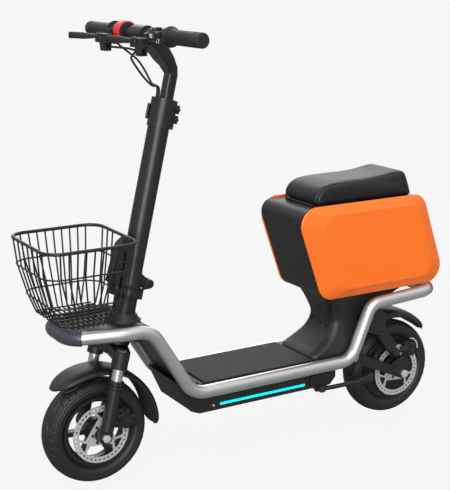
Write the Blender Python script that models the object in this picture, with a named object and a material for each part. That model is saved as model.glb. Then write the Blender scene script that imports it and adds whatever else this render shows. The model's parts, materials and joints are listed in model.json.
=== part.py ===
import math

import bmesh
import bpy
from mathutils import Matrix, Vector
from mathutils.geometry import tessellate_polygon

# Seated electric scooter, in metres.
# +Z is up, the front faces -Y and the rider's left hand is on +X.

# General clearances
GAP = 0.0003
RUNNING = 0.0001

# Facet counts
WHEEL_SIDES = 28
ROUND_SIDES = 16
PIN_SIDES = 8
TUBE_SIDES = 10
WIRE_SIDES = 4
ARC_STEPS = 2

# Wheels
AXLE_Y = 0.4301
TYRE_R = 0.1275
TYRE_HALF = 0.0332
BEAD_R = 0.0805
BEAD_HALF = 0.0199
RIM_LIP = 0.0845
RIM_HALF = 0.0225
FRONT_AXLE_R = 0.006
REAR_AXLE_R = 0.0068

# Brake discs
DISC_R = 0.070
DISC_THICK = 0.002
DISC_HOLES = 16
DISC_HOLE_R = 0.0019
DISC_ARMS = 6
FRONT_DISC_X = 0.0406
REAR_DISC_X = 0.0497

# Steering axis
RAKE = math.radians(13.2)
AXIS_FOOT_Y = -0.40953
AXIS_FOOT_Z = 0.12268
FORK_OFFSET = 0.0211

# Fork
LEG_X = 0.066
STANCHION_R = 0.013
SLIDER_R = 0.0155
SOCKET_R = 0.020
CROWN_LOW = 0.186
CROWN_HIGH = 0.2085
STEERER_R = 0.0142
HEAD_R = 0.025
COLUMN_R = 0.026
COLUMN_LOW = 0.294

# Stem
FOLD_T = 0.347
FOLD_PIN_T = 0.360
FOLD_PIN_BACK = 0.043
KNUCKLE_R = 0.014
STEM_R = 0.025
STEM_BORE = 0.0228
STEM_TOP = 0.786
COLLAR_LOW = 0.722
COLLAR_R = 0.028
NECK_BACK_R = 0.0165
NECK_CENTRE = 0.0055
NECK_FLAT = 0.0105
NECK_LOW = 0.60
CABLE_R = 0.0025
CABLE_PERP = -0.0185

# Handlebar
BAR_Y = -0.2818
BAR_Z = 1.0383
BAR_R = 0.0125
BAR_HALF = 0.2760
GRIP_R = 0.0165
GRIP_START = 0.137
GRIP_END = 0.2783
RING_R = 0.0255
RING_IN = -0.070
RING_OUT = -0.100
LEVER_Y = -0.325
RIGHT_PIVOT_X = -0.130
LEFT_PIVOT_X = 0.0526
RIGHT_REACH = 0.1466
LEFT_REACH = 0.1126
LEVER_Z = 1.027

# Frame tube
TUBE_R = 0.016
TUBE_X = 0.095
NOSE_Y = -0.508
NOSE_Z = 0.3775
DECK_TUBE_Z = 0.2015
TAIL_Y = 0.512

# Deck and battery case
DECK_LOW = 0.209
DECK_TOP = 0.2165
DECK_HALF = 0.0785
MAT_TOP = 0.2205
MAT_HALF = 0.083
CASE_HALF = 0.0745
CASE_WALL = 0.003
CASE_BOTTOM = 0.139
STRIP_Z = 0.1535
STRIP_HEIGHT = 0.006

# Seat box
BOX_HALF = 0.089
BOX_WALL = 0.003
BOX_TOP = 0.6065
BOX_BOTTOM = 0.371
BOX_SHEAR = 0.345
PANEL_RIM_X = 0.095
PANEL_FACE_X = 0.107
PANEL_TOP = 0.612
PANEL_RADIUS = 0.045
LID_OPENING_HALF = 0.062
LID_OPENING_FRONT = 0.165
LID_OPENING_REAR = 0.430
LID_HINGE_Y = 0.1455
LID_HINGE_Z = 0.6098
CUSHION_LOW = 0.6095
CUSHION_FRONT = 0.148
CUSHION_REAR = 0.447
CUSHION_HALF = 0.078

# Rear suspension
PIVOT_Y = 0.2675
PIVOT_Z = 0.2005
ARM_X = 0.068
ARM_HALF = 0.011
SHOCK_TOP = (0.3443, 0.263)
SHOCK_FOOT = (0.4228, 0.1672)
SHOCK_X = 0.068
SHOCK_R = 0.0155
SHOCK_PIN_R = 0.004

# Mudguards
REAR_GUARD_CENTRE = (0.415, 0.135)
GUARD_R = 0.158
GUARD_THICK = 0.0022

# Basket
RIM_WIRE_R = 0.004
WIRE_R = 0.002
BASKET_FLOOR = 0.4075
BASKET_LEVELS = ((0.590, 0.120, -0.575, -0.353), (0.530, 0.108, -0.570, -0.360),
                 (0.460, 0.100, -0.552, -0.371), (BASKET_FLOOR, 0.091, -0.532, -0.388))
BASKET_CORNER = 0.040
BASKET_SIDE_WIRES = 11
BASKET_END_WIRES = (0.030, 0.058, 0.086)

# Kickstand
STAND_PIVOT = (0.0885, 0.161, 0.138)
STAND_TILT = math.radians(20.0)
STAND_REACH = 0.1235

# The working origin lies midway between the axles; the model is centred on its length.
FRONT_END = BASKET_LEVELS[0][2] - RIM_WIRE_R * math.cos(math.pi / 6)
REAR_END = AXLE_Y + TYRE_R
CENTRE_SHIFT = -(FRONT_END + REAR_END) / 2

ALONG_X = Matrix(((0, 0, 1, 0), (1, 0, 0, 0), (0, 1, 0, 0), (0, 0, 0, 1)))
BACK = Vector((0, math.cos(RAKE), -math.sin(RAKE)))
UP = Vector((0, math.sin(RAKE), math.cos(RAKE)))
AXIS_FOOT = Vector((0, AXIS_FOOT_Y, AXIS_FOOT_Z))
STEER = Matrix.Translation(AXIS_FOOT) @ Matrix(((1, 0, 0), (0, BACK.y, UP.y), (0, BACK.z, UP.z))).to_4x4()
STEER_SIDE = STEER @ ALONG_X
FRONT_AXLE = Vector((0, -AXLE_Y, TYRE_R))
REAR_AXLE = Vector((0, AXLE_Y, TYRE_R))


def steer_point(x, back, up):
    return STEER @ Vector((x, back, up))


def at(x, y, z):
    return Matrix.Translation((x, y, z))


def toward(origin, direction):
    turn = Vector(direction).to_track_quat('Z', 'Y').to_matrix().to_4x4()
    return Matrix.Translation(origin) @ turn


def placed(shape, matrix):
    verts, faces = shape
    return [matrix @ Vector(v) for v in verts], faces


def group(*shapes):
    verts = []
    faces = []
    for part_verts, part_faces in shapes:
        start = len(verts)
        verts.extend(part_verts)
        faces.extend(tuple(start + i for i in face) for face in part_faces)
    return verts, faces


def mirrored(shape):
    verts, faces = shape
    return [Vector((-v[0], v[1], v[2])) for v in verts], faces


def circle(radius, sides, centre=(0, 0), start=0.0):
    step = 2 * math.pi / sides
    return [(centre[0] + radius * math.cos(start + i * step),
             centre[1] + radius * math.sin(start + i * step)) for i in range(sides)]


def arc(radius, first, last, steps, centre=(0, 0)):
    points = []
    for i in range(steps + 1):
        angle = math.radians(first + (last - first) * i / steps)
        points.append((centre[0] + radius * math.cos(angle), centre[1] + radius * math.sin(angle)))
    return points


def bore(radius, clearance, sides):
    return (radius + clearance) / math.cos(math.pi / sides)


def fillet(points, radius, steps, closed=True):
    points = [Vector(p) for p in points]
    radii = radius if isinstance(radius, (list, tuple)) else [radius] * len(points)
    rounded = []
    for i, here in enumerate(points):
        if not closed and i in (0, len(points) - 1):
            rounded.append(here)
            continue
        before = (points[i - 1] - here).normalized()
        after = (points[(i + 1) % len(points)] - here).normalized()
        half = before.angle(after) / 2
        if radii[i] <= 0 or half > math.radians(89.5):
            rounded.append(here)
            continue
        setback = radii[i] / math.tan(half)
        centre = here + (before + after).normalized() * (radii[i] / math.sin(half))
        first = here + before * setback - centre
        last = here + after * setback - centre
        sweep = first.angle(last)
        for k in range(steps + 1):
            f = k / steps
            spoke = (first * math.sin((1 - f) * sweep) + last * math.sin(f * sweep)) / math.sin(sweep)
            rounded.append(centre + spoke)
    return rounded


def rounded_box(half_x, y0, y1, radius, steps=ARC_STEPS):
    corners = [(-half_x, y0), (half_x, y0), (half_x, y1), (-half_x, y1)]
    return [tuple(p) for p in fillet(corners, radius, steps)]


def loft(rings, ends=True):
    count = len(rings[0])
    verts = [Vector(p) for ring in rings for p in ring]
    faces = []
    spans = len(rings) - 1 if ends else len(rings)
    for i in range(spans):
        a = i * count
        b = ((i + 1) % len(rings)) * count
        for j in range(count):
            k = (j + 1) % count
            faces.append((a + j, a + k, b + k, b + j))
    if ends:
        faces.append(tuple(reversed(range(count))))
        faces.append(tuple(range(len(verts) - count, len(verts))))
    return verts, faces


def plate(outline, low, high, holes=()):
    loops = [[Vector((p[0], p[1], 0)) for p in loop] for loop in (outline, *holes)]
    flat = [p for loop in loops for p in loop]
    total = len(flat)
    verts = [Vector((p.x, p.y, low)) for p in flat] + [Vector((p.x, p.y, high)) for p in flat]
    faces = []
    start = 0
    for loop in loops:
        count = len(loop)
        for j in range(count):
            k = (j + 1) % count
            faces.append((start + j, start + k, total + start + k, total + start + j))
        start += count
    if holes:
        for a, b, c in tessellate_polygon(loops):
            faces.append((a, b, c))
            faces.append((total + c, total + b, total + a))
    else:
        faces.append(tuple(reversed(range(total))))
        faces.append(tuple(range(total, 2 * total)))
    return verts, faces


def lathe(profile, sides, closed=True):
    verts = []
    rows = []
    for radius, height in profile:
        if radius < 1e-6:
            rows.append([len(verts)])
            verts.append(Vector((0, 0, height)))
            continue
        rows.append(list(range(len(verts), len(verts) + sides)))
        verts.extend(Vector((x, y, height)) for x, y in circle(radius, sides))
    faces = []
    spans = len(rows) if closed else len(rows) - 1
    for i in range(spans):
        a = rows[i]
        b = rows[(i + 1) % len(rows)]
        if len(a) == 1 and len(b) == 1:
            continue
        for j in range(sides):
            k = (j + 1) % sides
            if len(a) == 1:
                faces.append((a[0], b[k], b[j]))
            elif len(b) == 1:
                faces.append((a[j], a[k], b[0]))
            else:
                faces.append((a[j], a[k], b[k], b[j]))
    return verts, faces


def rod(radius, low, high, sides=PIN_SIDES):
    return plate(circle(radius, sides), low, high)


def sleeve(outer, inner, low, high, sides=ROUND_SIDES):
    return lathe([(outer, low), (outer, high), (inner, high), (inner, low)], sides)


def bolt(radius, height, sides=6):
    return rod(radius, 0, height, sides)


def frames_along(path, closed=False):
    path = [Vector(p) for p in path]
    count = len(path)
    frames = []
    side = None
    for i, here in enumerate(path):
        if closed:
            ahead = (path[(i + 1) % count] - path[i - 1]).normalized()
        else:
            ahead = (path[min(i + 1, count - 1)] - path[max(i - 1, 0)]).normalized()
        if side is None:
            side = Vector((0, 0, 1)) if abs(ahead.z) < 0.9 else Vector((1, 0, 0))
        side = (side - ahead * side.dot(ahead)).normalized()
        frames.append((here, side, ahead.cross(side), ahead))
    return frames


def sweep_outline(path, outline, closed=False):
    rings = []
    for here, side, across, ahead in frames_along(path, closed):
        rings.append([here + side * p[0] + across * p[1] for p in outline])
    return loft(rings, ends=not closed)


def wire(path, radius, sides=WIRE_SIDES, closed=False):
    return sweep_outline(path, circle(radius, sides), closed)


# The first and last points of the path only set the direction of the ends.
def pipe(path, outer, inner, sides):
    rings_out = []
    rings_in = []
    for here, side, across, ahead in frames_along(path)[1:-1]:
        rings_out.append([here + side * p[0] + across * p[1] for p in circle(outer, sides)])
        rings_in.append([here + side * p[0] + across * p[1] for p in circle(inner, sides)])
    return loft(rings_out + rings_in[::-1], ends=False)


def shell_along(path, outer, inner, first, last, steps):
    outline = arc(outer, first, last, steps) + arc(inner, last, first, steps)
    rings = []
    for here, side, across, ahead in frames_along(path)[1:-1]:
        rings.append([here + side * p[0] + across * p[1] for p in outline])
    return loft(rings)


def ribbon(points, thickness):
    points = [Vector(p) for p in points]
    upper = []
    lower = []
    for i, here in enumerate(points):
        ahead = (points[min(i + 1, len(points) - 1)] - points[max(i - 1, 0)]).normalized()
        normal = Vector((-ahead.y, ahead.x))
        upper.append(here + normal * thickness / 2)
        lower.append(here - normal * thickness / 2)
    return [tuple(p) for p in upper + lower[::-1]]


def smooth_path(points, steps):
    points = [Vector(p) for p in points]
    ends = [2 * points[0] - points[1]] + points + [2 * points[-1] - points[-2]]
    path = []
    for i in range(1, len(ends) - 2):
        p0, p1, p2, p3 = ends[i - 1:i + 3]
        for k in range(steps):
            f = k / steps
            path.append(0.5 * (2 * p1 + (p2 - p0) * f + (2 * p0 - 5 * p1 + 4 * p2 - p3) * f * f
                               + (3 * p1 - p0 - 3 * p2 + p3) * f * f * f))
    path.append(points[-1])
    return path


def blend(table, value):
    rows = sorted(table)
    if value <= rows[0][0]:
        return rows[0][1:]
    for low, high in zip(rows, rows[1:]):
        if value <= high[0]:
            f = (value - low[0]) / (high[0] - low[0])
            return tuple(a + (b - a) * f for a, b in zip(low[1:], high[1:]))
    return rows[-1][1:]


def material(name, colour, metallic, roughness):
    skin = bpy.data.materials.new(name)
    skin.use_nodes = True
    shader = skin.node_tree.nodes['Principled BSDF']
    shader.inputs['Base Color'].default_value = (*colour, 1)
    shader.inputs['Metallic'].default_value = metallic
    shader.inputs['Roughness'].default_value = roughness
    skin.diffuse_color = (*colour, 1)
    return skin


SKINS = {
    'black_metal': ((0.012, 0.012, 0.013), 0.6, 0.42),
    'black_plastic': ((0.014, 0.014, 0.015), 0.0, 0.48),
    'silver': ((0.62, 0.62, 0.62), 1.0, 0.34),
    'steel': ((0.55, 0.55, 0.56), 1.0, 0.28),
    'rubber': ((0.018, 0.018, 0.018), 0.0, 0.80),
    'orange': ((0.92, 0.17, 0.016), 0.0, 0.38),
    'red': ((0.85, 0.015, 0.012), 0.0, 0.35),
    'cyan': ((0.01, 0.72, 0.75), 0.0, 0.30),
    'cushion': ((0.013, 0.013, 0.014), 0.0, 0.60),
    'smoke': ((0.05, 0.065, 0.075), 0.4, 0.40),
    'red_lens': ((0.70, 0.02, 0.03), 0.0, 0.20),
}


def mesh_object(name, shape, origin):
    verts, faces = shape
    mesh = bpy.data.meshes.new(name)
    mesh.from_pydata([Vector(v) - origin for v in verts], [], faces)
    work = bmesh.new()
    work.from_mesh(mesh)
    bmesh.ops.recalc_face_normals(work, faces=work.faces)
    work.to_mesh(mesh)
    work.free()
    thing = bpy.data.objects.new(name, mesh)
    bpy.context.scene.collection.objects.link(thing)
    thing.location = origin + Vector((0, CENTRE_SHIFT, 0))
    return thing


def combine(thing, shapes, operation, origin):
    helper = mesh_object(thing.name + '.' + operation.lower(), group(*shapes), origin)
    helper.hide_render = True
    helper.display_type = 'WIRE'
    step = thing.modifiers.new(operation.lower(), 'BOOLEAN')
    step.operation = operation
    step.solver = 'EXACT'
    step.use_self = True
    step.object = helper


def publish(name, shapes, skin, origin=(0, 0, 0), cuts=()):
    origin = Vector(origin)
    thing = mesh_object(name, shapes[0], origin)
    colour, metallic, roughness = SKINS[skin]
    thing.data.materials.append(material(name + '_skin', colour, metallic, roughness))
    if len(shapes) > 1:
        combine(thing, shapes[1:], 'UNION', origin)
    if cuts:
        combine(thing, cuts, 'DIFFERENCE', origin)
    for polygon in thing.data.polygons:
        polygon.use_smooth = True
    thing.data.set_sharp_from_angle(angle=math.radians(35))
    return thing


def pair(name, shapes, skin, origin=(0, 0, 0), cuts=()):
    publish(name + '_left', shapes, skin, origin, cuts)
    flipped = (-origin[0], origin[1], origin[2])
    publish(name + '_right', [mirrored(s) for s in shapes], skin, flipped, [mirrored(c) for c in cuts])


def all_placed(shapes, matrix):
    return [placed(shape, matrix) for shape in shapes]


def flip_z(shape):
    verts, faces = shape
    return [Vector((v[0], v[1], -v[2])) for v in verts], faces


def twice(shapes):
    return shapes + [flip_z(shape) for shape in shapes]


# Wheels and brake discs
def sector_window(inner, outer, middle, arm_width, arms, steps):
    def half_angle(radius):
        return math.pi / arms - math.asin(arm_width / 2 / radius)

    points = []
    for i in range(steps + 1):
        angle = middle + half_angle(outer) * (2 * i / steps - 1)
        points.append((outer * math.cos(angle), outer * math.sin(angle)))
    for i in (1, 0):
        angle = middle + half_angle(inner) * (2 * i - 1)
        points.append((inner * math.cos(angle), inner * math.sin(angle)))
    return points


def tyre_profile():
    flank = [(BEAD_R, BEAD_HALF), (BEAD_R + 0.0045, BEAD_HALF), (BEAD_R + 0.0170, 0.97 * TYRE_HALF),
             (TYRE_R - 0.0105, 0.91 * TYRE_HALF), (TYRE_R - 0.0028, 0.56 * TYRE_HALF)]
    lining = [(BEAD_R, BEAD_HALF - 0.004), (TYRE_R - 0.0150, 0.72 * TYRE_HALF)]
    crown = [(TYRE_R, 0)]
    outside = flank + crown + [(r, -x) for r, x in flank[::-1]]
    inside = [(r, -x) for r, x in lining] + lining[::-1]
    return outside + inside


def wheel_frame(axle):
    return Matrix.Translation(axle) @ ALONG_X


def build_tyre(name, axle):
    publish(name, [placed(lathe(tyre_profile(), WHEEL_SIDES), wheel_frame(axle))], 'rubber', axle)


def build_disc(name, axle, disc_x, centre_bore):
    windows = []
    for i in range(DISC_ARMS):
        middle = 2 * math.pi * (i + 0.5) / DISC_ARMS
        windows.append(sector_window(0.0270, 0.0530, middle, 0.0065, DISC_ARMS, 4))
    for i in range(DISC_HOLES):
        angle = 2 * math.pi * (i + 0.5) / DISC_HOLES
        centre = (0.0618 * math.cos(angle), 0.0618 * math.sin(angle))
        windows.append(circle(DISC_HOLE_R, 4, centre, angle))
    windows.append(circle(centre_bore, 16))
    low = disc_x - DISC_THICK / 2
    shape = plate(circle(DISC_R, WHEEL_SIDES), low, low + DISC_THICK, windows)
    publish(name, [placed(shape, wheel_frame(axle))], 'steel', axle)


def build_front_rim():
    seat = BEAD_R - GAP
    barrel = lathe([(RIM_LIP, RIM_HALF), (RIM_LIP, BEAD_HALF + GAP), (seat, BEAD_HALF + GAP),
                    (seat, -BEAD_HALF - GAP), (RIM_LIP, -BEAD_HALF - GAP), (RIM_LIP, -RIM_HALF),
                    (seat - 0.004, -RIM_HALF), (seat - 0.004, RIM_HALF)], WHEEL_SIDES)
    windows = []
    for i in range(6):
        middle = 2 * math.pi * (i + 0.5) / 6
        windows.append(sector_window(0.0285, 0.0690, middle, 0.012, 6, 5))
    windows.append(circle(0.012, 12))
    spider = plate(circle(seat - 0.0018, WHEEL_SIDES), -0.009, 0.009, windows)
    face = FRONT_DISC_X - DISC_THICK / 2 - GAP
    axle_bore = bore(FRONT_AXLE_R, RUNNING, 16)
    hub = lathe([(0.0195, -0.036), (0.0195, 0.031), (0.0262, 0.034), (0.0262, face),
                 (axle_bore, face), (axle_bore, -0.036)], ROUND_SIDES)
    shapes = all_placed([barrel, spider, hub], wheel_frame(FRONT_AXLE))
    publish('front_rim', shapes, 'black_metal', FRONT_AXLE)


def build_rear_hub():
    seat = BEAD_R - GAP
    face = REAR_DISC_X - DISC_THICK / 2 - GAP
    axle_bore = bore(REAR_AXLE_R, RUNNING, 16)
    profile = [(axle_bore, -0.0335), (0.020, -0.0335), (0.060, -0.0270), (0.0645, -0.0205),
               (0.0785, -RIM_HALF), (RIM_LIP, -RIM_HALF), (RIM_LIP, -BEAD_HALF - GAP),
               (seat, -BEAD_HALF - GAP), (seat, BEAD_HALF + GAP), (RIM_LIP, BEAD_HALF + GAP),
               (RIM_LIP, RIM_HALF), (0.0785, RIM_HALF), (0.0645, 0.0205), (0.060, 0.0270),
               (0.0265, 0.032), (0.0265, face), (axle_bore, face)]
    hub = placed(lathe(profile, WHEEL_SIDES), wheel_frame(REAR_AXLE))
    publish('rear_hub', [hub], 'black_metal', REAR_AXLE)


def axle_pin(radius, left_stop, right_stop, right_inner, left_inner, nut_seat):
    collar = radius + 0.0035
    end = nut_seat + 0.0085
    profile = [(0, -end), (radius, -end), (radius, right_stop), (collar, right_stop), (collar, right_inner),
               (radius, right_inner), (radius, left_inner), (collar, left_inner), (collar, left_stop),
               (radius, left_stop), (radius, end), (0, end)]
    pin = lathe(profile, 12, closed=False)
    nut = plate(circle(radius + 0.0062, 6), nut_seat + GAP, nut_seat + 0.0068)
    return [pin, nut, flip_z(nut)]


# Fork and steering column
def build_fork_crown():
    leg_bore = bore(STANCHION_R, GAP, 12)
    outline = arc(SOCKET_R, -115, 80, 7, (LEG_X, -FORK_OFFSET))
    outline += arc(0.025, 45, 135, 4)
    outline += arc(SOCKET_R, 100, 295, 7, (-LEG_X, -FORK_OFFSET))
    outline += arc(0.025, 240, 300, 2, (0, -0.008))
    bridge = plate(outline, CROWN_LOW, CROWN_HIGH)
    socket = placed(rod(SOCKET_R - 0.0006, 0.167, CROWN_LOW + 0.004, ROUND_SIDES), at(LEG_X, -FORK_OFFSET, 0))
    steerer = rod(STEERER_R, CROWN_LOW + 0.004, FOLD_T - 0.0075, ROUND_SIDES)
    pinch = placed(bolt(0.0038, 0.0045), at(LEG_X + SOCKET_R - 0.0015, -FORK_OFFSET, 0.177) @ ALONG_X)
    shapes = [bridge, socket, mirrored(socket), steerer, pinch, mirrored(pinch)]
    cuts = [rod(STEERER_R - 0.003, CROWN_LOW - 0.01, FOLD_T - 0.012, 16)]
    leg = placed(rod(leg_bore, 0.150, CROWN_HIGH + 0.010, 12), at(LEG_X, -FORK_OFFSET, 0))
    cuts += [leg, mirrored(leg)]
    publish('fork_crown', all_placed(shapes, STEER), 'black_metal', AXIS_FOOT, all_placed(cuts, STEER))


def build_stanchions():
    inner = STANCHION_R - 0.002
    leg = lathe([(STANCHION_R, 0.050), (STANCHION_R, CROWN_HIGH), (inner, CROWN_HIGH + 0.002),
                 (0, CROWN_HIGH + 0.002), (0, CROWN_HIGH - 0.004), (inner, CROWN_HIGH - 0.004),
                 (inner, 0.050)], 12)
    pair('stanchion', [placed(leg, STEER @ at(LEG_X, -FORK_OFFSET, 0))], 'silver', AXIS_FOOT)


def build_column():
    top = FOLD_T - GAP
    steerer_bore = bore(STEERER_R, GAP, ROUND_SIDES)
    tube = lathe([(COLUMN_R, COLUMN_LOW), (COLUMN_R, top), (0, top), (0, top - 0.006),
                  (steerer_bore, top - 0.006), (steerer_bore, COLUMN_LOW)], ROUND_SIDES)
    ear = [(0.0185, 0.318), (COLUMN_R + 0.009, 0.318)]
    ear += arc(KNUCKLE_R, -40, 150, 8, (FOLD_PIN_BACK, FOLD_PIN_T))
    ear += [(COLUMN_R + 0.0014, FOLD_T + 0.001), (COLUMN_R + 0.0014, top - 0.001), (0.0185, top - 0.001)]
    ear = plate(ear, 0.0125, 0.0205)
    pad = plate([(0.0185, 0.320), (COLUMN_R + 0.0078, 0.320), (COLUMN_R + 0.0078, 0.3440), (0.0185, 0.3440)],
                -0.0140, 0.0140)
    pin = placed(rod(SHOCK_PIN_R, -0.0200, 0.0200), at(FOLD_PIN_BACK, FOLD_PIN_T, 0))
    head = placed(bolt(0.0075, 0.003, 10), at(FOLD_PIN_BACK, FOLD_PIN_T, 0.0200))
    catch = plate([(-0.0385, 0.3270), (-0.0385, 0.3370), (-0.0300, 0.3420), (-0.0215, 0.3420),
                   (-0.0215, 0.3225), (-0.0300, 0.3225)], -0.0100, 0.0100)
    side = [ear, flip_z(ear), pad, pin, head, flip_z(head), catch]
    shapes = [placed(tube, STEER)] + all_placed(side, STEER_SIDE)
    for level in (0.305, 0.329):
        shapes.append(placed(bolt(0.0042, 0.0052), STEER @ at(COLUMN_R - 0.0010, 0.004, level) @ ALONG_X))
    publish('steering_column', shapes, 'black_metal', AXIS_FOOT)


# Front suspension
def caliper_tab(grow):
    return [(-0.0120, 0.0200 - grow), (0.0150 + grow, 0.0215 - grow), (0.0190 + grow, 0.0640 + grow),
            (-0.0120, 0.0740 + grow)]


def build_sliders():
    tube_bore = bore(STANCHION_R, GAP + RUNNING, 12)
    tube = lathe([(SLIDER_R, 0.0187), (SLIDER_R, 0.1185), (SLIDER_R + 0.0022, 0.1205),
                  (SLIDER_R + 0.0022, 0.1255), (SLIDER_R, 0.1265), (tube_bore, 0.1265),
                  (tube_bore, 0.024), (0, 0.024), (0, 0.0187)], 12)
    tube = placed(tube, STEER @ at(LEG_X, -FORK_OFFSET, 0))
    hole = circle(bore(FRONT_AXLE_R, GAP, 12), 12, (-FORK_OFFSET, 0))
    lug = [(-FORK_OFFSET + 0.0135, 0.0225), (-FORK_OFFSET - 0.0135, 0.0225)]
    lug += arc(0.0165, 170, 370, 9, (-FORK_OFFSET, 0))
    lug = placed(plate(lug, 0.0535, 0.0695, [hole]), STEER_SIDE)
    tab = placed(plate(caliper_tab(0), 0.0515, 0.0548), STEER_SIDE)
    origin = steer_point(0, -FORK_OFFSET, 0)
    publish('fork_slider_left', [tube, lug, tab], 'black_metal', origin)
    publish('fork_slider_right', [mirrored(tube), mirrored(lug)], 'black_metal', origin)


def build_front_axle():
    shapes = axle_pin(FRONT_AXLE_R, 0.0532, -0.0532, -0.0365, FRONT_DISC_X + 0.0014, 0.0695)
    publish('front_axle', all_placed(shapes, wheel_frame(FRONT_AXLE)), 'steel', FRONT_AXLE)


def guard_shape(centre, first, last, half, steps, narrow_first, narrow_last):
    rings = []
    for i in range(steps + 1):
        f = i / steps
        angle = math.radians(first + (last - first) * f)
        width = half
        drop = 0.0
        if f < 0.2 and narrow_first < 1:
            width *= narrow_first + (1 - narrow_first) * math.sin(f / 0.2 * math.pi / 2)
            drop = 0.001 * (1 - f / 0.2) ** 2
        if f > 0.8 and narrow_last < 1:
            width *= narrow_last + (1 - narrow_last) * math.sin((1 - f) / 0.2 * math.pi / 2)
        section = [(-1.0, 0.0125), (-0.91, 0.0045), (-0.5, 0.0006), (0.5, 0.0006), (0.91, 0.0045),
                   (1.0, 0.0125)]
        inset = GUARD_THICK / half
        depth = width / half
        outer = [(x * width, GUARD_R - drop - fall * depth) for x, fall in section]
        inner = [(x * width * (1 - inset), GUARD_R - drop - GUARD_THICK - fall * depth * 0.90)
                 for x, fall in section[::-1]]
        inner[0] = (width * (1 - inset), outer[-1][1])
        inner[-1] = (-width * (1 - inset), outer[-1][1])
        rings.append([(x, centre[0] + r * math.cos(angle), centre[1] + r * math.sin(angle))
                      for x, r in outer + inner])
    return loft(rings)


def build_front_guard():
    guard = guard_shape((-AXLE_Y, TYRE_R), -6, 132, 0.0445, 16, 1.0, 0.6)
    low = [(-FORK_OFFSET - 0.011, 0.104), (-FORK_OFFSET + 0.011, 0.104), (-FORK_OFFSET + 0.011, 0.137),
           (-FORK_OFFSET - 0.011, 0.137)]
    high = [(-FORK_OFFSET - 0.009, 0.110), (-FORK_OFFSET + 0.009, 0.110), (-FORK_OFFSET + 0.009, 0.149),
            (-FORK_OFFSET - 0.009, 0.149)]
    foot = placed(plate(low, 0.0442, 0.0480), STEER_SIDE)
    rise = placed(plate(high, 0.0431, 0.0455), STEER_SIDE)
    shapes = [guard, foot, mirrored(foot), rise, mirrored(rise)]
    publish('front_mudguard', shapes, 'black_plastic', steer_point(0, -FORK_OFFSET, 0))


def caliper_frame(axle, angle):
    radial = Vector((0, math.cos(angle), math.sin(angle)))
    along = Vector((0, -math.sin(angle), math.cos(angle)))
    turn = Matrix(((1, 0, 0), (0, radial.y, along.y), (0, radial.z, along.z))).to_4x4()
    return Matrix.Translation(axle) @ turn


PAD_R = 0.0655


def build_caliper(prefix, axle, angle, disc_x, extra=(), cuts=()):
    frame = caliper_frame(axle, angle)
    near = disc_x - DISC_THICK / 2 - 0.0008
    far = disc_x + DISC_THICK / 2 + 0.0008
    outer = far + 0.0185
    inner = min(near - 0.0075, 0.0342)
    body = [(inner, 0.0500), (near, 0.0500), (near, DISC_R + 0.0012), (far, DISC_R + 0.0012),
            (far, 0.0500), (outer - 0.004, 0.0500), (outer, 0.0540), (outer, 0.0800),
            (outer - 0.005, 0.0840), (0.0372, 0.0840), (inner, 0.0775)]
    body = plate(body, -0.019, 0.019)
    seat = at(0, PAD_R, 0)
    boss = placed(placed(rod(0.0145, outer - 0.001, outer + 0.0035, 16), ALONG_X), seat)
    stop = placed(rod(0.0035, -0.030, -0.0180, 8), at(outer - 0.0048, 0.0775, 0))
    shapes = all_placed([body, boss, stop], frame) + list(extra)
    publish(prefix + '_caliper', shapes, 'black_metal', axle, cuts)
    hub = rod(0.0105, outer + 0.0040, outer + 0.0084, 12)
    lever = [(0.0075, -0.0045), (0.0225, -0.0026), (0.0245, 0.0), (0.0225, 0.0026), (0.0075, 0.0045)]
    lever = plate(lever, outer + 0.0046, outer + 0.0076)
    cap = placed(bolt(0.0045, 0.003), at(0, 0, outer + 0.0080))
    arm = [placed(placed(shape, ALONG_X), seat) for shape in (hub, lever, cap)]
    publish(prefix + '_brake_arm', all_placed(arm, frame), 'black_metal', frame @ Vector((outer, PAD_R, 0)))


# Frame
def half_path():
    points = [(0, NOSE_Y, NOSE_Z), (0.062, NOSE_Y, NOSE_Z), (TUBE_X - 0.0015, -0.385, NOSE_Z),
              (TUBE_X, -0.3232, NOSE_Z), (TUBE_X, -0.2143, DECK_TUBE_Z), (TUBE_X, 0.2456, DECK_TUBE_Z),
              (TUBE_X, 0.3010, 0.3289), (TUBE_X + 0.0035, TAIL_Y, 0.3539), (0, TAIL_Y, 0.3539)]
    radii = [0, 0.050, 0.120, 0.060, 0.060, 0.048, 0.060, 0.036, 0]
    return fillet(points, radii, 3, closed=False)


def build_frame_loop():
    left = half_path()
    loop = left + [Vector((-p.x, p.y, p.z)) for p in left[-2:0:-1]]
    publish('frame_loop', [wire(loop, TUBE_R, TUBE_SIDES, closed=True)], 'silver')


def build_nose_cap():
    left = half_path()
    count = sum(1 for p in left if p.y < -0.4775)
    path = left[count:0:-1]
    path = path + [Vector((-p.x, p.y, p.z)) for p in path[::-1]]
    inner = bore(TUBE_R, GAP, TUBE_SIDES)
    publish('nose_cap', [pipe(path, TUBE_R + 0.0024, inner, TUBE_SIDES + 4)], 'smoke')


def build_tail_light():
    left = half_path()
    count = sum(1 for p in left if p.y > TAIL_Y - 0.012 and p.x < 0.086)
    path = left[-count - 1:-1]
    path = path + [Vector((-p.x, p.y, p.z)) for p in path[::-1]]
    inner = bore(TUBE_R, GAP, 24)
    publish('tail_light', [shell_along(path, inner + 0.0030, inner, 20, 160, 8)], 'red_lens')


def window(x, y, half_x, half_y):
    return [(x - half_x, y - half_y), (x + half_x, y - half_y),
            (x + half_x, y + half_y), (x - half_x, y + half_y)]


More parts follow.
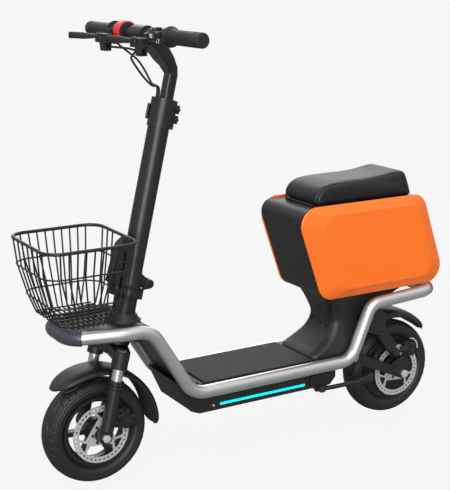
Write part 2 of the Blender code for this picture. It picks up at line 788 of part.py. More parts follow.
def build_head_tube():
    flare = HEAD_R + 0.0015
    low = CROWN_HIGH + 0.0025
    high = COLUMN_LOW - GAP
    tube = lathe([(flare, low), (flare, low + 0.009), (HEAD_R, low + 0.011), (HEAD_R, high - 0.011),
                  (flare, high - 0.009), (flare, high), (0.0185, high), (0.0185, low)], ROUND_SIDES)
    outline = [(0.0775, -0.030), (0.0775, 0.022), (0.045, 0.026)]
    outline += arc(0.036, 40, 140, 4)
    outline += [(-0.045, 0.026), (-0.0775, 0.022), (-0.0775, -0.030), (-0.045, -0.030)]
    outline += arc(0.036, 220, 320, 4)
    outline += [(0.045, -0.030)]
    windows = [circle(0.0215, 12), window(0.058, -0.002, 0.009, 0.013), window(-0.058, -0.002, 0.009, 0.013)]
    bridge = plate(outline, 0.234, 0.255, windows)
    publish('head_tube', all_placed([tube, bridge], STEER), 'black_metal', AXIS_FOOT)


def tube_inner_edge():
    path = [p for p in half_path() if p.y < -0.335]
    edge = []
    for i, here in enumerate(path):
        before = path[i - 1] if i else Vector((-path[1].x, path[1].y, path[1].z))
        ahead = (path[min(i + 1, len(path) - 1)] - before).normalized()
        reach = TUBE_R + (0.0034 if here.y < -0.4700 else 0.0010)
        edge.append((here.x - ahead.y * reach, here.y + ahead.x * reach))
    return edge


def build_front_cover():
    low = 0.3800
    high = 0.3832
    middle = (low + high) / 2
    side = tube_inner_edge() + [(0.0775, -0.300)]
    outline = side + [(-x, y) for x, y in side[:0:-1]]
    opening_r = HEAD_R + 0.0045
    centre = (0, AXIS_FOOT_Y + (middle - AXIS_FOOT_Z) * math.tan(RAKE))
    top = plate(outline, low, high, [circle(opening_r + 0.003, ROUND_SIDES, centre)])
    rings = [[(x, y, middle) for x, y in circle(0.044, ROUND_SIDES, centre)],
             [steer_point(x, y, 0.2800) for x, y in circle(0.0345, ROUND_SIDES)],
             [steer_point(x, y, 0.2865) for x, y in circle(0.0315, ROUND_SIDES)],
             [steer_point(x, y, 0.2865) for x, y in circle(0.0285, ROUND_SIDES)],
             [(x, y, middle) for x, y in circle(opening_r, ROUND_SIDES, centre)]]
    hump = loft(rings, ends=False)
    slope = [(-0.3040, 0.3817), (-0.2975, 0.3790), (-0.2910, 0.3700), (-0.2290, 0.2700), (-0.2130, 0.2440),
             (-0.1985, 0.2290), (-0.1910, 0.2245)]
    panel = placed(plate(ribbon(slope, 0.003), -0.0771, 0.0771), ALONG_X)
    publish('front_cover', [top, hump, panel], 'black_plastic')


def build_deck():
    outline = rounded_box(DECK_HALF, -0.188, 0.245, 0.006)
    publish('deck_plate', [plate(outline, DECK_LOW, DECK_TOP)], 'black_metal')
    mat = rounded_box(MAT_HALF, -0.176, 0.1325, 0.010)
    publish('deck_mat', [plate(mat, DECK_TOP + GAP, MAT_TOP)], 'rubber')


def build_battery_case():
    side = [(-0.248, 0.2290), (-0.212, 0.1500), (-0.186, CASE_BOTTOM), (0.196, CASE_BOTTOM), (0.213, 0.158),
            (0.213, 0.2085), (-0.205, 0.2085), (-0.228, 0.2290)]
    side = [tuple(p) for p in fillet(side, [0, 0.012, 0.012, 0.010, 0, 0, 0, 0], 1)]
    cheek = placed(plate(side, CASE_HALF - CASE_WALL, CASE_HALF), ALONG_X)
    floor = CASE_BOTTOM + 0.0018
    line = [(-0.2445, 0.2255), (-0.2095, 0.1508), (-0.1850, floor), (0.1950, floor), (0.2110, 0.1588),
            (0.2110, 0.2070)]
    line = fillet(line, 0.009, 1, closed=False)
    wall = CASE_HALF - 0.0012
    tray = placed(plate(ribbon(line, 0.003), -wall, wall), ALONG_X)
    port = placed(bolt(0.005, 0.0024, 12), at(CASE_HALF - 0.001, -0.149, STRIP_Z) @ ALONG_X)
    shapes = [tray, cheek, mirrored(cheek), port] + stand_bracket()
    publish('battery_case', shapes, 'black_plastic')


def build_light_strips():
    outline = [(-0.130, STRIP_Z - STRIP_HEIGHT / 2), (0.117, STRIP_Z - STRIP_HEIGHT / 2),
               (0.117, STRIP_Z + STRIP_HEIGHT / 2), (-0.130, STRIP_Z + STRIP_HEIGHT / 2)]
    strip = placed(plate(outline, CASE_HALF + GAP, CASE_HALF + 0.0018), ALONG_X)
    pair('light_strip', [strip], 'cyan')


TOWER_LEVELS = ((DECK_TOP + GAP, 0.0765, 0.137, 0.292), (0.2240, 0.0765, 0.142, 0.296),
                (0.240, 0.0735, 0.170, 0.302), (0.265, 0.066, 0.201, 0.306), (0.300, 0.060, 0.2145, 0.310),
                (BOX_BOTTOM - GAP, 0.070, 0.190, 0.330))


def build_seat_tower():
    outer = []
    inner = []
    for z, half, y0, y1 in TOWER_LEVELS:
        outer.append([(x, y, z) for x, y in rounded_box(half, y0, y1, 0.024, 3)])
        inner.append([(x, y, z) for x, y in rounded_box(half - 0.0035, y0 + 0.0035, y1 - 0.0035, 0.0205, 3)])
    shapes = [loft(outer + inner[::-1], ends=False)]
    for x, z in ((0, 0.328), (0, 0.286), (0.036, 0.289), (-0.036, 0.289)):
        face = blend(TOWER_LEVELS, z)[1]
        shapes.append(placed(bolt(0.0048, 0.0045), toward((x, face + 0.0016, z), (0, -1, 0))))
    publish('seat_tower', shapes, 'black_plastic')


# Seat box, lid and cushion
def box_outline(top, bottom, inset, radii, steps):
    front_top = 0.092 + BOX_SHEAR * (0.557 - top)
    front_low = 0.092 + BOX_SHEAR * (0.557 - bottom)
    rear_top = 0.480 + BOX_SHEAR * (0.577 - top)
    rear_low = 0.480 + BOX_SHEAR * (0.577 - bottom)
    corners = [(front_top + inset, top), (front_low + inset, bottom), (rear_low - inset, bottom),
               (rear_top - inset, top)]
    return [tuple(p) for p in fillet(corners, radii, steps)]


def build_storage_box():
    wall = BOX_WALL
    outer = box_outline(BOX_TOP, BOX_BOTTOM, 0.003, [0.030, 0.042, 0.042, 0.030], 3)
    inner = box_outline(BOX_TOP - wall, BOX_BOTTOM + wall, 0.003 + wall, [0.027, 0.039, 0.039, 0.027], 3)
    shell = placed(plate(outer, -BOX_HALF, BOX_HALF), ALONG_X)
    hollow = placed(plate(inner, -BOX_HALF + wall, BOX_HALF - wall), ALONG_X)
    mouth = plate(rounded_box(LID_OPENING_HALF, LID_OPENING_FRONT, LID_OPENING_REAR, 0.010), BOX_TOP - 0.015,
                  BOX_TOP + 0.010)
    shapes = [shell]
    for x in (0.0520, -0.0580):
        lug = [(LID_HINGE_Y - 0.0030, BOX_TOP - 0.001), (LID_HINGE_Y + 0.0030, BOX_TOP - 0.001)]
        lug += arc(0.0030, 0, 180, 5, (LID_HINGE_Y, LID_HINGE_Z))
        hole = circle(bore(0.0011, GAP, 8), 8, (LID_HINGE_Y, LID_HINGE_Z))
        shapes.append(placed(plate(lug, x, x + 0.006, [hole]), ALONG_X))
    publish('storage_box', shapes, 'black_plastic', cuts=[hollow, mouth])


def face_outline():
    top = PANEL_TOP - 0.018
    bottom = BOX_BOTTOM + 0.018
    front_top = 0.092 + BOX_SHEAR * (0.557 - top) + 0.050
    front_low = 0.092 + BOX_SHEAR * (0.557 - bottom) + 0.050
    rear_top = 0.480 + BOX_SHEAR * (0.577 - top) - 0.034
    rear_low = 0.480 + BOX_SHEAR * (0.577 - bottom) - 0.034
    corners = [(front_top, top), (front_low, bottom), (rear_low, bottom), (rear_top, top)]
    return [tuple(p) for p in fillet(corners, 0.030, 4)]


def build_side_panels():
    rim = box_outline(PANEL_TOP, BOX_BOTTOM, 0.0, PANEL_RADIUS, 4)
    edge = box_outline(PANEL_TOP - 0.0012, BOX_BOTTOM + 0.0012, 0.0012, PANEL_RADIUS, 4)
    rings = [[(BOX_HALF + GAP, y, z) for y, z in rim], [(PANEL_RIM_X - 0.0012, y, z) for y, z in rim],
             [(PANEL_RIM_X, y, z) for y, z in edge], [(PANEL_FACE_X, y, z) for y, z in face_outline()]]
    pair('side_panel', [loft(rings)], 'orange')


def build_seat_lid():
    origin = (0, LID_HINGE_Y, LID_HINGE_Z)
    low = BOX_TOP + GAP
    flange = plate(rounded_box(0.0745, 0.1515, 0.4440, 0.020), low, CUSHION_LOW - GAP)
    half = LID_OPENING_HALF
    front = LID_OPENING_FRONT
    rear = LID_OPENING_REAR
    lip_out = rounded_box(half - 0.0025, front + 0.004, rear - 0.004, 0.008)
    lip_in = rounded_box(half - 0.0050, front + 0.0065, rear - 0.0065, 0.0055)
    lip = plate(lip_out, BOX_TOP - 0.008, low + 0.001, [lip_in])
    barrel = placed(rod(0.0026, -0.0515, 0.0515, 10), at(*origin) @ ALONG_X)
    leaf = plate([(-0.0500, LID_HINGE_Y), (0.0500, LID_HINGE_Y), (0.0500, 0.1560), (-0.0500, 0.1560)],
                 low + 0.0008, low + 0.0019)
    pin = placed(rod(0.0011, 0.0505, 0.0575, 8), at(*origin) @ ALONG_X)
    publish('seat_lid', [flange, lip, leaf, barrel, pin, mirrored(pin)], 'black_plastic', origin)


CUSHION_TOP = ((0.148, 0.6555), (0.170, 0.6585), (0.200, 0.6605), (0.310, 0.6615), (0.360, 0.6680),
               (0.420, 0.6762), (0.447, 0.6740))
CUSHION_RINGS = ((0.0015, 0.0), (0.0, 0.12), (0.0010, 0.35), (0.0040, 0.62), (0.0080, 0.82), (0.0135, 0.935),
                 (0.0215, 0.985), (0.0330, 0.998), (0.0480, 1.0), (0.0640, 1.0))


def cushion_shape(rings, corner_steps, side_steps):
    outline_rings = []
    for inset, height in rings:
        half = CUSHION_HALF - inset - 0.008 * height
        corner = max(0.004, 0.034 - inset * 0.6)
        y0 = CUSHION_FRONT + 0.9 * inset + 0.006 * height
        y1 = CUSHION_REAR - 0.9 * inset - 0.004 * height
        outline = []
        rounded = fillet([(-half, y0), (half, y0), (half, y1), (-half, y1)], min(corner, half * 0.95),
                         corner_steps)
        count = corner_steps + 1
        for k in range(4):
            outline.extend(rounded[k * count:(k + 1) * count])
            here = rounded[(k + 1) * count - 1]
            there = rounded[((k + 1) * count) % len(rounded)]
            for i in range(1, side_steps):
                outline.append(here.lerp(there, i / side_steps))
        ring = []
        for p in outline:
            top = blend(CUSHION_TOP, p.y)[0] - CUSHION_LOW
            sag = 0.0035 * (p.x / CUSHION_HALF) ** 2 * height
            ring.append((p.x, p.y, CUSHION_LOW + height * top - sag))
        outline_rings.append(ring)
    return loft(outline_rings)


def build_cushion():
    shape = cushion_shape(CUSHION_RINGS, 3, 5)
    publish('seat_cushion', [shape], 'cushion', (0, LID_HINGE_Y, LID_HINGE_Z))


# Rear suspension
def build_swingarm():
    axle = (AXLE_Y, TYRE_R)
    slope = math.degrees(math.atan2(0.13 - PIVOT_Z, 0.42 - PIVOT_Y))
    beam = arc(0.0155, slope + 90, slope + 270, 8, (PIVOT_Y, PIVOT_Z))
    end = Vector((0.408, 0.1355))
    normal = Vector((math.cos(math.radians(slope + 90)), math.sin(math.radians(slope + 90))))
    beam += [tuple(end - normal * 0.0160), (0.4170, 0.1145)]
    beam += arc(0.0165, 240, 420, 6, axle)
    beam += [(0.4260, 0.1450), tuple(end + normal * 0.0160)]
    low = ARM_X - ARM_HALF
    high = ARM_X + ARM_HALF
    arm = plate(beam, low, high)
    web = [(0.3860, 0.1450)] + arc(0.0110, 150, 30, 5, SHOCK_FOOT)
    web += [(0.4520, 0.1600), (0.4560, 0.1450), (0.4510, 0.1140), (0.4300, 0.1065), (0.4100, 0.1130)]
    outer = plate(web, high - 0.0006, high + 0.0035)
    inner = plate(web, low - 0.0035, low + 0.0006)
    pin = placed(rod(SHOCK_PIN_R, low - 0.0030, high + 0.0030), at(*SHOCK_FOOT, 0))
    head = placed(bolt(0.0070, 0.0032, 10), at(*SHOCK_FOOT, high + 0.0030))
    cross = placed(rod(0.0135, -low - 0.0030, low + 0.0030, 20), at(PIVOT_Y, PIVOT_Z, 0))
    shapes = [cross] + twice([arm, outer, inner, pin, head])
    cuts = [placed(rod(bore(0.005, GAP, PIN_SIDES), -0.1, 0.1), at(PIVOT_Y, PIVOT_Z, 0)),
            placed(rod(bore(REAR_AXLE_R, GAP, 16), -0.1, 0.1, 16), at(*axle, 0))]
    publish('swingarm', all_placed(shapes, ALONG_X), 'black_metal', (0, PIVOT_Y, PIVOT_Z),
            all_placed(cuts, ALONG_X))


def build_rear_axle():
    low = ARM_X - ARM_HALF - 0.0035 - GAP
    high = ARM_X + ARM_HALF + 0.0035
    shapes = axle_pin(REAR_AXLE_R, low, -low, -0.0340, REAR_DISC_X + 0.0014, high)
    publish('rear_axle', all_placed(shapes, wheel_frame(REAR_AXLE)), 'steel', REAR_AXLE)


def shock_frame():
    down = Vector((0, SHOCK_FOOT[0] - SHOCK_TOP[0], SHOCK_FOOT[1] - SHOCK_TOP[1])).normalized()
    across = Vector((1, 0, 0))
    third = down.cross(across)
    turn = Matrix(((across.x, third.x, down.x), (across.y, third.y, down.y), (across.z, third.z, down.z)))
    return Matrix.Translation((SHOCK_X, *SHOCK_TOP)) @ turn.to_4x4()


def build_shocks():
    length = math.hypot(SHOCK_FOOT[0] - SHOCK_TOP[0], SHOCK_FOOT[1] - SHOCK_TOP[1])
    frame = shock_frame()
    eye = sleeve(0.0095, bore(SHOCK_PIN_R, GAP, 12), -0.0100, 0.0100, 12)
    rod_r = 0.0118
    tube_bore = bore(rod_r, 0.0006, 12)
    top = 0.0075
    can = lathe([(0, top), (0.0090, top), (0.0125, top + 0.004), (SHOCK_R, top + 0.008), (SHOCK_R, 0.074),
                 (0.0145, 0.078), (tube_bore, 0.078), (tube_bore, 0.018), (0, 0.018)], 12, closed=False)
    eye_top = placed(eye, at(SHOCK_X, *SHOCK_TOP) @ ALONG_X)
    pair('shock_upper', [placed(can, frame), eye_top], 'black_metal', (0, *SHOCK_TOP))
    inner = lathe([(0, 0.036), (rod_r, 0.036), (rod_r, 0.097), (0.0142, 0.098), (0.0142, 0.104),
                   (0.0095, 0.1105), (0.0085, length - 0.0070), (0, length - 0.0070)], 12, closed=False)
    eye_foot = placed(eye, at(SHOCK_X, *SHOCK_FOOT) @ ALONG_X)
    pair('shock_lower', [placed(inner, frame), eye_foot], 'black_metal', (0, *SHOCK_FOOT))


def tube_notches():
    path = [p for p in half_path() if p.y > -0.250 and p.x > 0.050]
    tube = wire(path, TUBE_R + GAP / math.cos(math.pi / TUBE_SIDES), TUBE_SIDES)
    return [tube, mirrored(tube)]


def build_rear_bracket():
    cheek = arc(0.0436, 35, 90, 4, (0.3424, 0.2738)) + arc(0.0500, 100, 195, 5, (0.3424, 0.2738))
    cheek += [(0.3120, 0.2480), (0.3450, 0.2440), (0.3620, 0.2560)]
    outer = plate(cheek, 0.0862, 0.0900)
    tab = [(0.3280, 0.3070), (0.3300, 0.2640), (0.3380, 0.2530), (0.3500, 0.2530), (0.3550, 0.2640),
           (0.3450, 0.3070)]
    tab = plate(tab, 0.0480, 0.0515)
    pin = placed(rod(SHOCK_PIN_R, 0.0490, 0.0890), at(*SHOCK_TOP, 0))
    head = placed(bolt(0.0070, 0.0035, 10), at(*SHOCK_TOP, 0.0892))
    cross = placed(rod(0.0080, -0.0880, 0.0880, 16), at(0.325, 0.300, 0))
    shapes = [cross] + twice([outer, tab, pin, head])
    publish('rear_bracket', all_placed(shapes, ALONG_X), 'black_metal', cuts=tube_notches())


def build_swing_pivot():
    lug = arc(0.0130, 200, 400, 8, (PIVOT_Y, PIVOT_Z))
    lug += [(0.2800, 0.2300)] + arc(0.0675, -22, -62, 5, (0.2063, 0.2615)) + [(0.2400, 0.1905)]
    ear = plate(lug, 0.0793, 0.0826)
    head = placed(bolt(0.0085, 0.0035, 10), at(PIVOT_Y, PIVOT_Z, 0.0820))
    pin = placed(rod(0.005, -0.0810, 0.0810), at(PIVOT_Y, PIVOT_Z, 0))
    shapes = [pin] + twice([ear, head])
    publish('swing_pivot', all_placed(shapes, ALONG_X), 'black_metal', cuts=tube_notches())


def build_rear_guard():
    guard = guard_shape(REAR_GUARD_CENTRE, 30, 118, 0.040, 12, 0.35, 1.0)
    ear = [(0.3345, 0.2920), (0.3400, 0.2680), (0.3900, 0.2815), (0.3640, 0.3030), (0.3345, 0.3060)]
    ear = placed(plate(ear, 0.0383, 0.0430), ALONG_X)
    screw = placed(bolt(0.0042, 0.0030), at(0.0422, 0.3500, 0.2960) @ ALONG_X)
    spacer = placed(rod(0.0045, 0.0420, 0.0480 - GAP), at(0, 0.3400, 0.2830) @ ALONG_X)
    shapes = [guard] + [part for half in (ear, screw, spacer) for part in (half, mirrored(half))]
    publish('rear_mudguard', shapes, 'black_plastic')


def rear_cable():
    path = smooth_path([(0.0655, 0.4520, 0.2080), (0.0700, 0.4600, 0.2150), (0.0745, 0.4720, 0.2130),
                        (0.0770, 0.4800, 0.2020), (0.0770, 0.4800, 0.1950)], 3)
    return wire(path, 0.0016, 5)


# Stem
def build_stem():
    low = FOLD_T + GAP
    tube = lathe([(0, low), (0.0262, low), (0.0262, 0.372), (STEM_R, 0.375), (STEM_R, STEM_TOP),
                  (STEM_BORE, STEM_TOP), (STEM_BORE, 0.400), (0, 0.396)], ROUND_SIDES, closed=False)
    arm = [(0.0200, 0.3490), (0.0330, 0.3490)]
    arm += arc(KNUCKLE_R - 0.0006, -105, 130, 8, (FOLD_PIN_BACK, FOLD_PIN_T))
    arm += [(0.0200, 0.3780)]
    pin_bore = bore(SHOCK_PIN_R, GAP, PIN_SIDES)
    knuckle = plate(arm, -0.0120, 0.0120, [circle(pin_bore, PIN_SIDES, (FOLD_PIN_BACK, FOLD_PIN_T))])
    shapes = [placed(tube, STEER), placed(knuckle, STEER_SIDE)]
    publish('stem_tube', shapes, 'black_metal', steer_point(0, FOLD_PIN_BACK, FOLD_PIN_T))


LEVER_PIN_X = -0.0175
LEVER_PIN_BACK = 0.036


def neck_outline(grow):
    radius = NECK_BACK_R + grow
    flat = -NECK_FLAT - grow
    reach = math.sqrt(radius * radius - flat * flat)
    first = math.degrees(math.atan2(flat, reach))
    return arc(radius, first, 180 - first, 12, (0, NECK_CENTRE))


def build_collar():
    inner = bore(STEM_R, GAP, ROUND_SIDES)
    outline = arc(COLLAR_R, 68, -248, 18)
    outline += [(-0.0105, 0.0400), (-0.0010, 0.0400)]
    outline += arc(inner, 93, 447, 18)[1:-1]
    outline += [(0.0010, 0.0400), (0.0105, 0.0400)]
    band = plate(outline, COLLAR_LOW, STEM_TOP + 0.0018)
    liner = rod(STEM_BORE * math.cos(math.pi / ROUND_SIDES) - GAP, 0.735, STEM_TOP + 0.0015, ROUND_SIDES)
    flange = rod(0.0271, STEM_TOP + GAP, STEM_TOP + 0.0032, 18)
    shapes = [band, liner, flange]
    for level in (0.738, 0.770):
        shapes.append(placed(bolt(0.0052, 0.0055, 10), at(0.0100, 0.0335, level) @ ALONG_X))
    for level in (0.7330, 0.7725):
        lug = [(-0.0095, 0.0290), (-0.0095, 0.0395), (-0.0175, 0.0405), (-0.0215, 0.0360), (-0.0175, 0.0325)]
        shapes.append(plate(lug, level, level + 0.003))
    shapes.append(placed(rod(0.0025, 0.7345, 0.7740, 8), at(LEVER_PIN_X, LEVER_PIN_BACK, 0)))
    hole = neck_outline(GAP)
    front = hole[-1][1]
    wide = 0.0045 + CABLE_R + GAP
    notch = CABLE_PERP - CABLE_R - GAP
    hole += [(-wide, front), (-wide, notch), (wide, notch), (wide, front)]
    cut = plate(hole, 0.725, STEM_TOP + 0.010)
    fold = steer_point(0, FOLD_PIN_BACK, FOLD_PIN_T)
    publish('stem_collar', all_placed(shapes, STEER), 'black_metal', fold, [placed(cut, STEER)])
    blade = arc(0.0060, 190, 0, 8, (LEVER_PIN_X, LEVER_PIN_BACK)) + [(-0.0125, 0.0310)]
    blade += arc(0.0305, 122, 250, 12) + arc(0.0345, 250, 140, 12)
    pin_hole = circle(bore(0.0025, GAP, 8), 8, (LEVER_PIN_X, LEVER_PIN_BACK))
    lever = plate(blade, 0.7365, 0.7720, [pin_hole])
    publish('collar_lever', [placed(lever, STEER)], 'black_metal',
            steer_point(LEVER_PIN_X, LEVER_PIN_BACK, 0.754))


# Handlebar
def bar_frame():
    return at(0, BAR_Y, BAR_Z) @ ALONG_X


def neck_body():
    outline = neck_outline(0.0)
    count = len(outline)
    rings = [[steer_point(x, y, level) for x, y in outline] for level in (NECK_LOW, 0.845)]
    head = ((0.9620, -0.2140, 8, 0.0200, 0.0330), (0.9800, -0.2240, -16, 0.0245, 0.0345),
            (1.0000, -0.2370, -30, 0.0275, 0.0352), (1.0170, -0.2500, -44, 0.0278, 0.0350),
            (1.0270, -0.2665, -50, 0.0278, 0.0300))
    for z, y, lean, half, depth in head:
        turn = math.radians(lean)
        back = Vector((0, math.cos(turn), -math.sin(turn)))
        ring = []
        for i in range(count):
            angle = math.pi * i / (count - 1)
            wide = half * math.copysign(abs(math.cos(angle)) ** 0.55, math.cos(angle))
            deep = depth * abs(math.sin(angle)) ** 0.55 - depth / 2
            ring.append(Vector((wide, y, z)) + back * deep)
        rings.append(ring)
    return loft(rings)


def build_handlebar():
    tube = sleeve(BAR_R, BAR_R - 0.002, -BAR_HALF, BAR_HALF)
    clamp = plate(circle(0.0195, ROUND_SIDES), -0.0286, 0.0286, [circle(BAR_R - 0.001, 16)])
    shapes = [neck_body()] + all_placed([tube, clamp], bar_frame())
    for x in (-0.019, 0.019):
        shapes.append(placed(bolt(0.0035, 0.0035), toward((x, BAR_Y - 0.0185, BAR_Z), (0, -1, 0))))
    publish('handlebar', shapes, 'black_metal', steer_point(0, NECK_CENTRE, NECK_LOW))


def build_grips():
    inner = bore(BAR_R, GAP, 12)
    profile = [(inner, GRIP_START), (0.0205, GRIP_START), (0.0210, GRIP_START + 0.003),
               (0.0180, GRIP_START + 0.006), (GRIP_R, GRIP_START + 0.010)]
    for i in range(4):
        start = GRIP_END - 0.032 + 0.006 * i
        profile += [(GRIP_R, start), (GRIP_R - 0.0009, start + 0.0012), (GRIP_R, start + 0.0024)]
    profile += [(GRIP_R, GRIP_END - 0.0025), (GRIP_R - 0.0025, GRIP_END), (0, GRIP_END),
                (0, BAR_HALF + GAP), (inner, BAR_HALF + GAP)]
    pair('grip', [placed(lathe(profile, 12), bar_frame())], 'rubber', (0, BAR_Y, BAR_Z))


def perch_shapes(pivot_x, clamp_x):
    outline = [(BAR_Y + y, BAR_Z + z) for y, z in arc(0.0170, -150, 150, 10)]
    nose = [(BAR_Y - 0.0245, BAR_Z + 0.0040), (BAR_Y - 0.0245, BAR_Z - 0.0120)]
    clamp = placed(plate(outline + nose, clamp_x - 0.007, clamp_x + 0.007), ALONG_X)
    rear = LEVER_Y + 0.0205
    body = [(pivot_x - 0.0100, LEVER_Y - 0.0040), (pivot_x - 0.0040, LEVER_Y - 0.0110),
            (pivot_x + 0.0420, LEVER_Y - 0.0080), (pivot_x + 0.0460, LEVER_Y - 0.0040),
            (pivot_x + 0.0460, LEVER_Y + 0.0100), (pivot_x + 0.0260, LEVER_Y + 0.0150),
            (pivot_x + 0.0220, rear), (pivot_x - 0.0040, rear), (pivot_x - 0.0100, LEVER_Y + 0.0130)]
    low = LEVER_Z - 0.0125
    top_cap = plate(body, LEVER_Z + 0.0045, LEVER_Z + 0.0075)
    base = plate(body, low, LEVER_Z - 0.0040)
    block = [(LEVER_Y - 0.0060, 0.9960), (LEVER_Y + 0.0100, 0.9960), (LEVER_Y + 0.0120, low + 0.001),
             (LEVER_Y - 0.0080, low + 0.001)]
    slot = [(LEVER_Y - 0.0020, 0.9985), (LEVER_Y + 0.0060, 0.9985), (LEVER_Y + 0.0060, 1.0105),
            (LEVER_Y - 0.0020, 1.0105)]
    block = placed(plate(block, pivot_x + 0.0125, pivot_x + 0.0380, [slot]), ALONG_X)
    link = plate([(pivot_x + 0.0200, LEVER_Y - 0.0060), (pivot_x + 0.0430, LEVER_Y - 0.0060),
                  (pivot_x + 0.0430, LEVER_Y + 0.0090), (pivot_x + 0.0200, LEVER_Y + 0.0120)],
                 LEVER_Z - 0.0050, LEVER_Z + 0.0055)
    pin = placed(rod(0.0022, LEVER_Z - 0.0050, LEVER_Z + 0.0055, 10), at(pivot_x, LEVER_Y, 0))
    cap = placed(bolt(0.0045, 0.0030), at(pivot_x, LEVER_Y, LEVER_Z + 0.0068))
    barrel = placed(rod(0.0042, 0.0050, 0.0140, 10), at(pivot_x, LEVER_Y + 0.0022, 1.0045) @ ALONG_X)
    return [clamp, top_cap, base, block, link, pin, cap, barrel]


def lever_shapes(pivot_x, reach, tip_z):
    hole = circle(bore(0.0022, GAP, 10), 10, (pivot_x, LEVER_Y))
    boss = plate(circle(0.0075, 14, (pivot_x, LEVER_Y)), LEVER_Z - 0.0035, LEVER_Z + 0.0040, [hole])
    stations = ((0.0045, 0.0, 0.0052), (0.0300, -0.0035, 0.0050), (0.0550, -0.0065, 0.0042),
                (reach * 0.75, -0.0080, 0.0042), (reach - 0.0120, -0.0110, 0.0040),
                (reach - 0.0030, -0.0135, 0.0038), (reach, -0.0145, 0.0020))
    rings = []
    for along, shift, half_y in stations:
        f = along / reach
        z = LEVER_Z + 0.0002 + (tip_z - LEVER_Z) * f
        half_z = 0.0030 + 0.0022 * min(1.0, f * 2) * (0.6 if f > 0.999 else 1.0)
        outline = [(LEVER_Y + shift + half_y * math.cos(a), z + half_z * math.sin(a))
                   for a in [2 * math.pi * k / 8 + math.pi / 8 for k in range(8)]]
        rings.append([(pivot_x - along, y, level) for y, level in outline])
    return [boss, loft(rings)]


def build_levers():
    for name, pivot_x, reach, tip_z in (('right', RIGHT_PIVOT_X, RIGHT_REACH, 1.0230),
                                        ('left', LEFT_PIVOT_X, LEFT_REACH, 1.0260)):
        publish(name + '_brake_lever', lever_shapes(pivot_x, reach, tip_z), 'black_metal',
                (pivot_x, LEVER_Y, LEVER_Z))


def build_controls():
    sleeve_cut = placed(rod(bore(BAR_R, GAP, ROUND_SIDES), -0.2, 0.2, ROUND_SIDES), bar_frame())
    housing = arc(0.0185, -60, 240, 10)
    housing = plate(housing, -0.1205, RING_OUT - GAP)
    outlet = plate([(-0.0110, -0.0150), (-0.0220, -0.0190), (-0.0220, -0.0275), (-0.0130, -0.0290),
                    (-0.0040, -0.0160)], -0.1170, -0.1010)
    shapes = perch_shapes(RIGHT_PIVOT_X, -0.1265) + all_placed([housing, outlet], bar_frame())
    publish('right_controls', shapes, 'black_metal', (0, BAR_Y, BAR_Z), [sleeve_cut])
    pod = arc(0.0175, -40, 130, 6) + [(-0.0240, 0.0150), (-0.0270, 0.0080), (-0.0270, -0.0060),
                                      (-0.0180, -0.0150)]
    pod = plate(pod, 0.0890, 0.1200)
    cuff = rod(0.0158, 0.0690, 0.0910, ROUND_SIDES)
    shapes = perch_shapes(LEFT_PIVOT_X, 0.0640) + all_placed([pod, cuff], bar_frame())
    pocket = [(-0.0310, -0.0045), (-0.0245, -0.0045), (-0.0245, 0.0065), (-0.0310, 0.0065)]
    pocket = placed(plate(pocket, 0.0930, 0.1040), bar_frame())
    publish('left_controls', shapes, 'black_metal', (0, BAR_Y, BAR_Z), [sleeve_cut, pocket])
    back = -0.0265
    key = plate([(back, -0.0040), (back - 0.0024, -0.0040), (back - 0.0032, -0.0032), (back - 0.0032, 0.0052),
                 (back - 0.0024, 0.0060), (back, 0.0060)], 0.0935, 0.1035)
    publish('mode_button', [placed(key, bar_frame())], 'steel', (0.0985, BAR_Y + back, BAR_Z))


def build_throttle():
    inner = bore(BAR_R, GAP + RUNNING, 20)
    rim = RING_R
    ring = lathe([(inner, RING_OUT), (rim - 0.0020, RING_OUT), (rim, RING_OUT + 0.0030),
                  (rim, RING_IN - 0.0035), (rim - 0.0030, RING_IN), (rim - 0.0058, RING_IN),
                  (rim - 0.0062, RING_IN - 0.0022), (0.0165, RING_IN - 0.0022), (0.0155, RING_IN),
                  (inner, RING_IN)], 20)
    publish('throttle_ring', [placed(ring, bar_frame())], 'red', (RING_IN, BAR_Y, BAR_Z))


def cable_paths():
    top = 0.822
    low = 0.665
    right = [steer_point(-0.0045, CABLE_PERP, level) for level in (top, (top + low) / 2, low)]
    left = [Vector((-p.x, p.y, p.z)) for p in right]
    first = [(-0.0980, -0.2990, 1.0150), (-0.0890, -0.2948, 1.0078), (-0.0700, -0.2850, 0.9950),
             (-0.0450, -0.2720, 0.9770), (-0.0260, -0.2630, 0.9530), (-0.0120, -0.2540, 0.9260)]
    second = [(0.0535, -0.3235, 1.0040), (0.0505, -0.3290, 0.9985), (0.0450, -0.3310, 0.9880),
              (0.0340, -0.3126, 0.9663), (0.0220, -0.2899, 0.9432), (0.0120, -0.2680, 0.9210)]
    cross = [(-0.0914, -0.3215, 1.0060), (-0.0500, -0.3180, 1.0065), (-0.0200, -0.3160, 1.0070),
             (0.0200, -0.3185, 1.0070), (0.0545, -0.3205, 1.0050)]
    return [smooth_path(first + right, 2), smooth_path(second + left, 2), smooth_path(cross, 2)]


def build_cables():
    shapes = [wire(path, CABLE_R, 5) for path in cable_paths()]
    boot = plate([(-0.3280, 1.0005), (-0.3175, 1.0005), (-0.3175, 1.0085), (-0.3280, 1.0085)], 0.0520, 0.0572)
    tie = plate(window(0, -0.0185, 0.0068, 0.0020), 0.6800, 0.7000)
    shapes += [placed(boot, ALONG_X), placed(tie, STEER)]
    publish('cable_harness', shapes, 'rubber', steer_point(0, NECK_CENTRE, NECK_LOW))


# Basket, bracket and latch
LATCH_BACK = -0.0460
LATCH_T = 0.3575


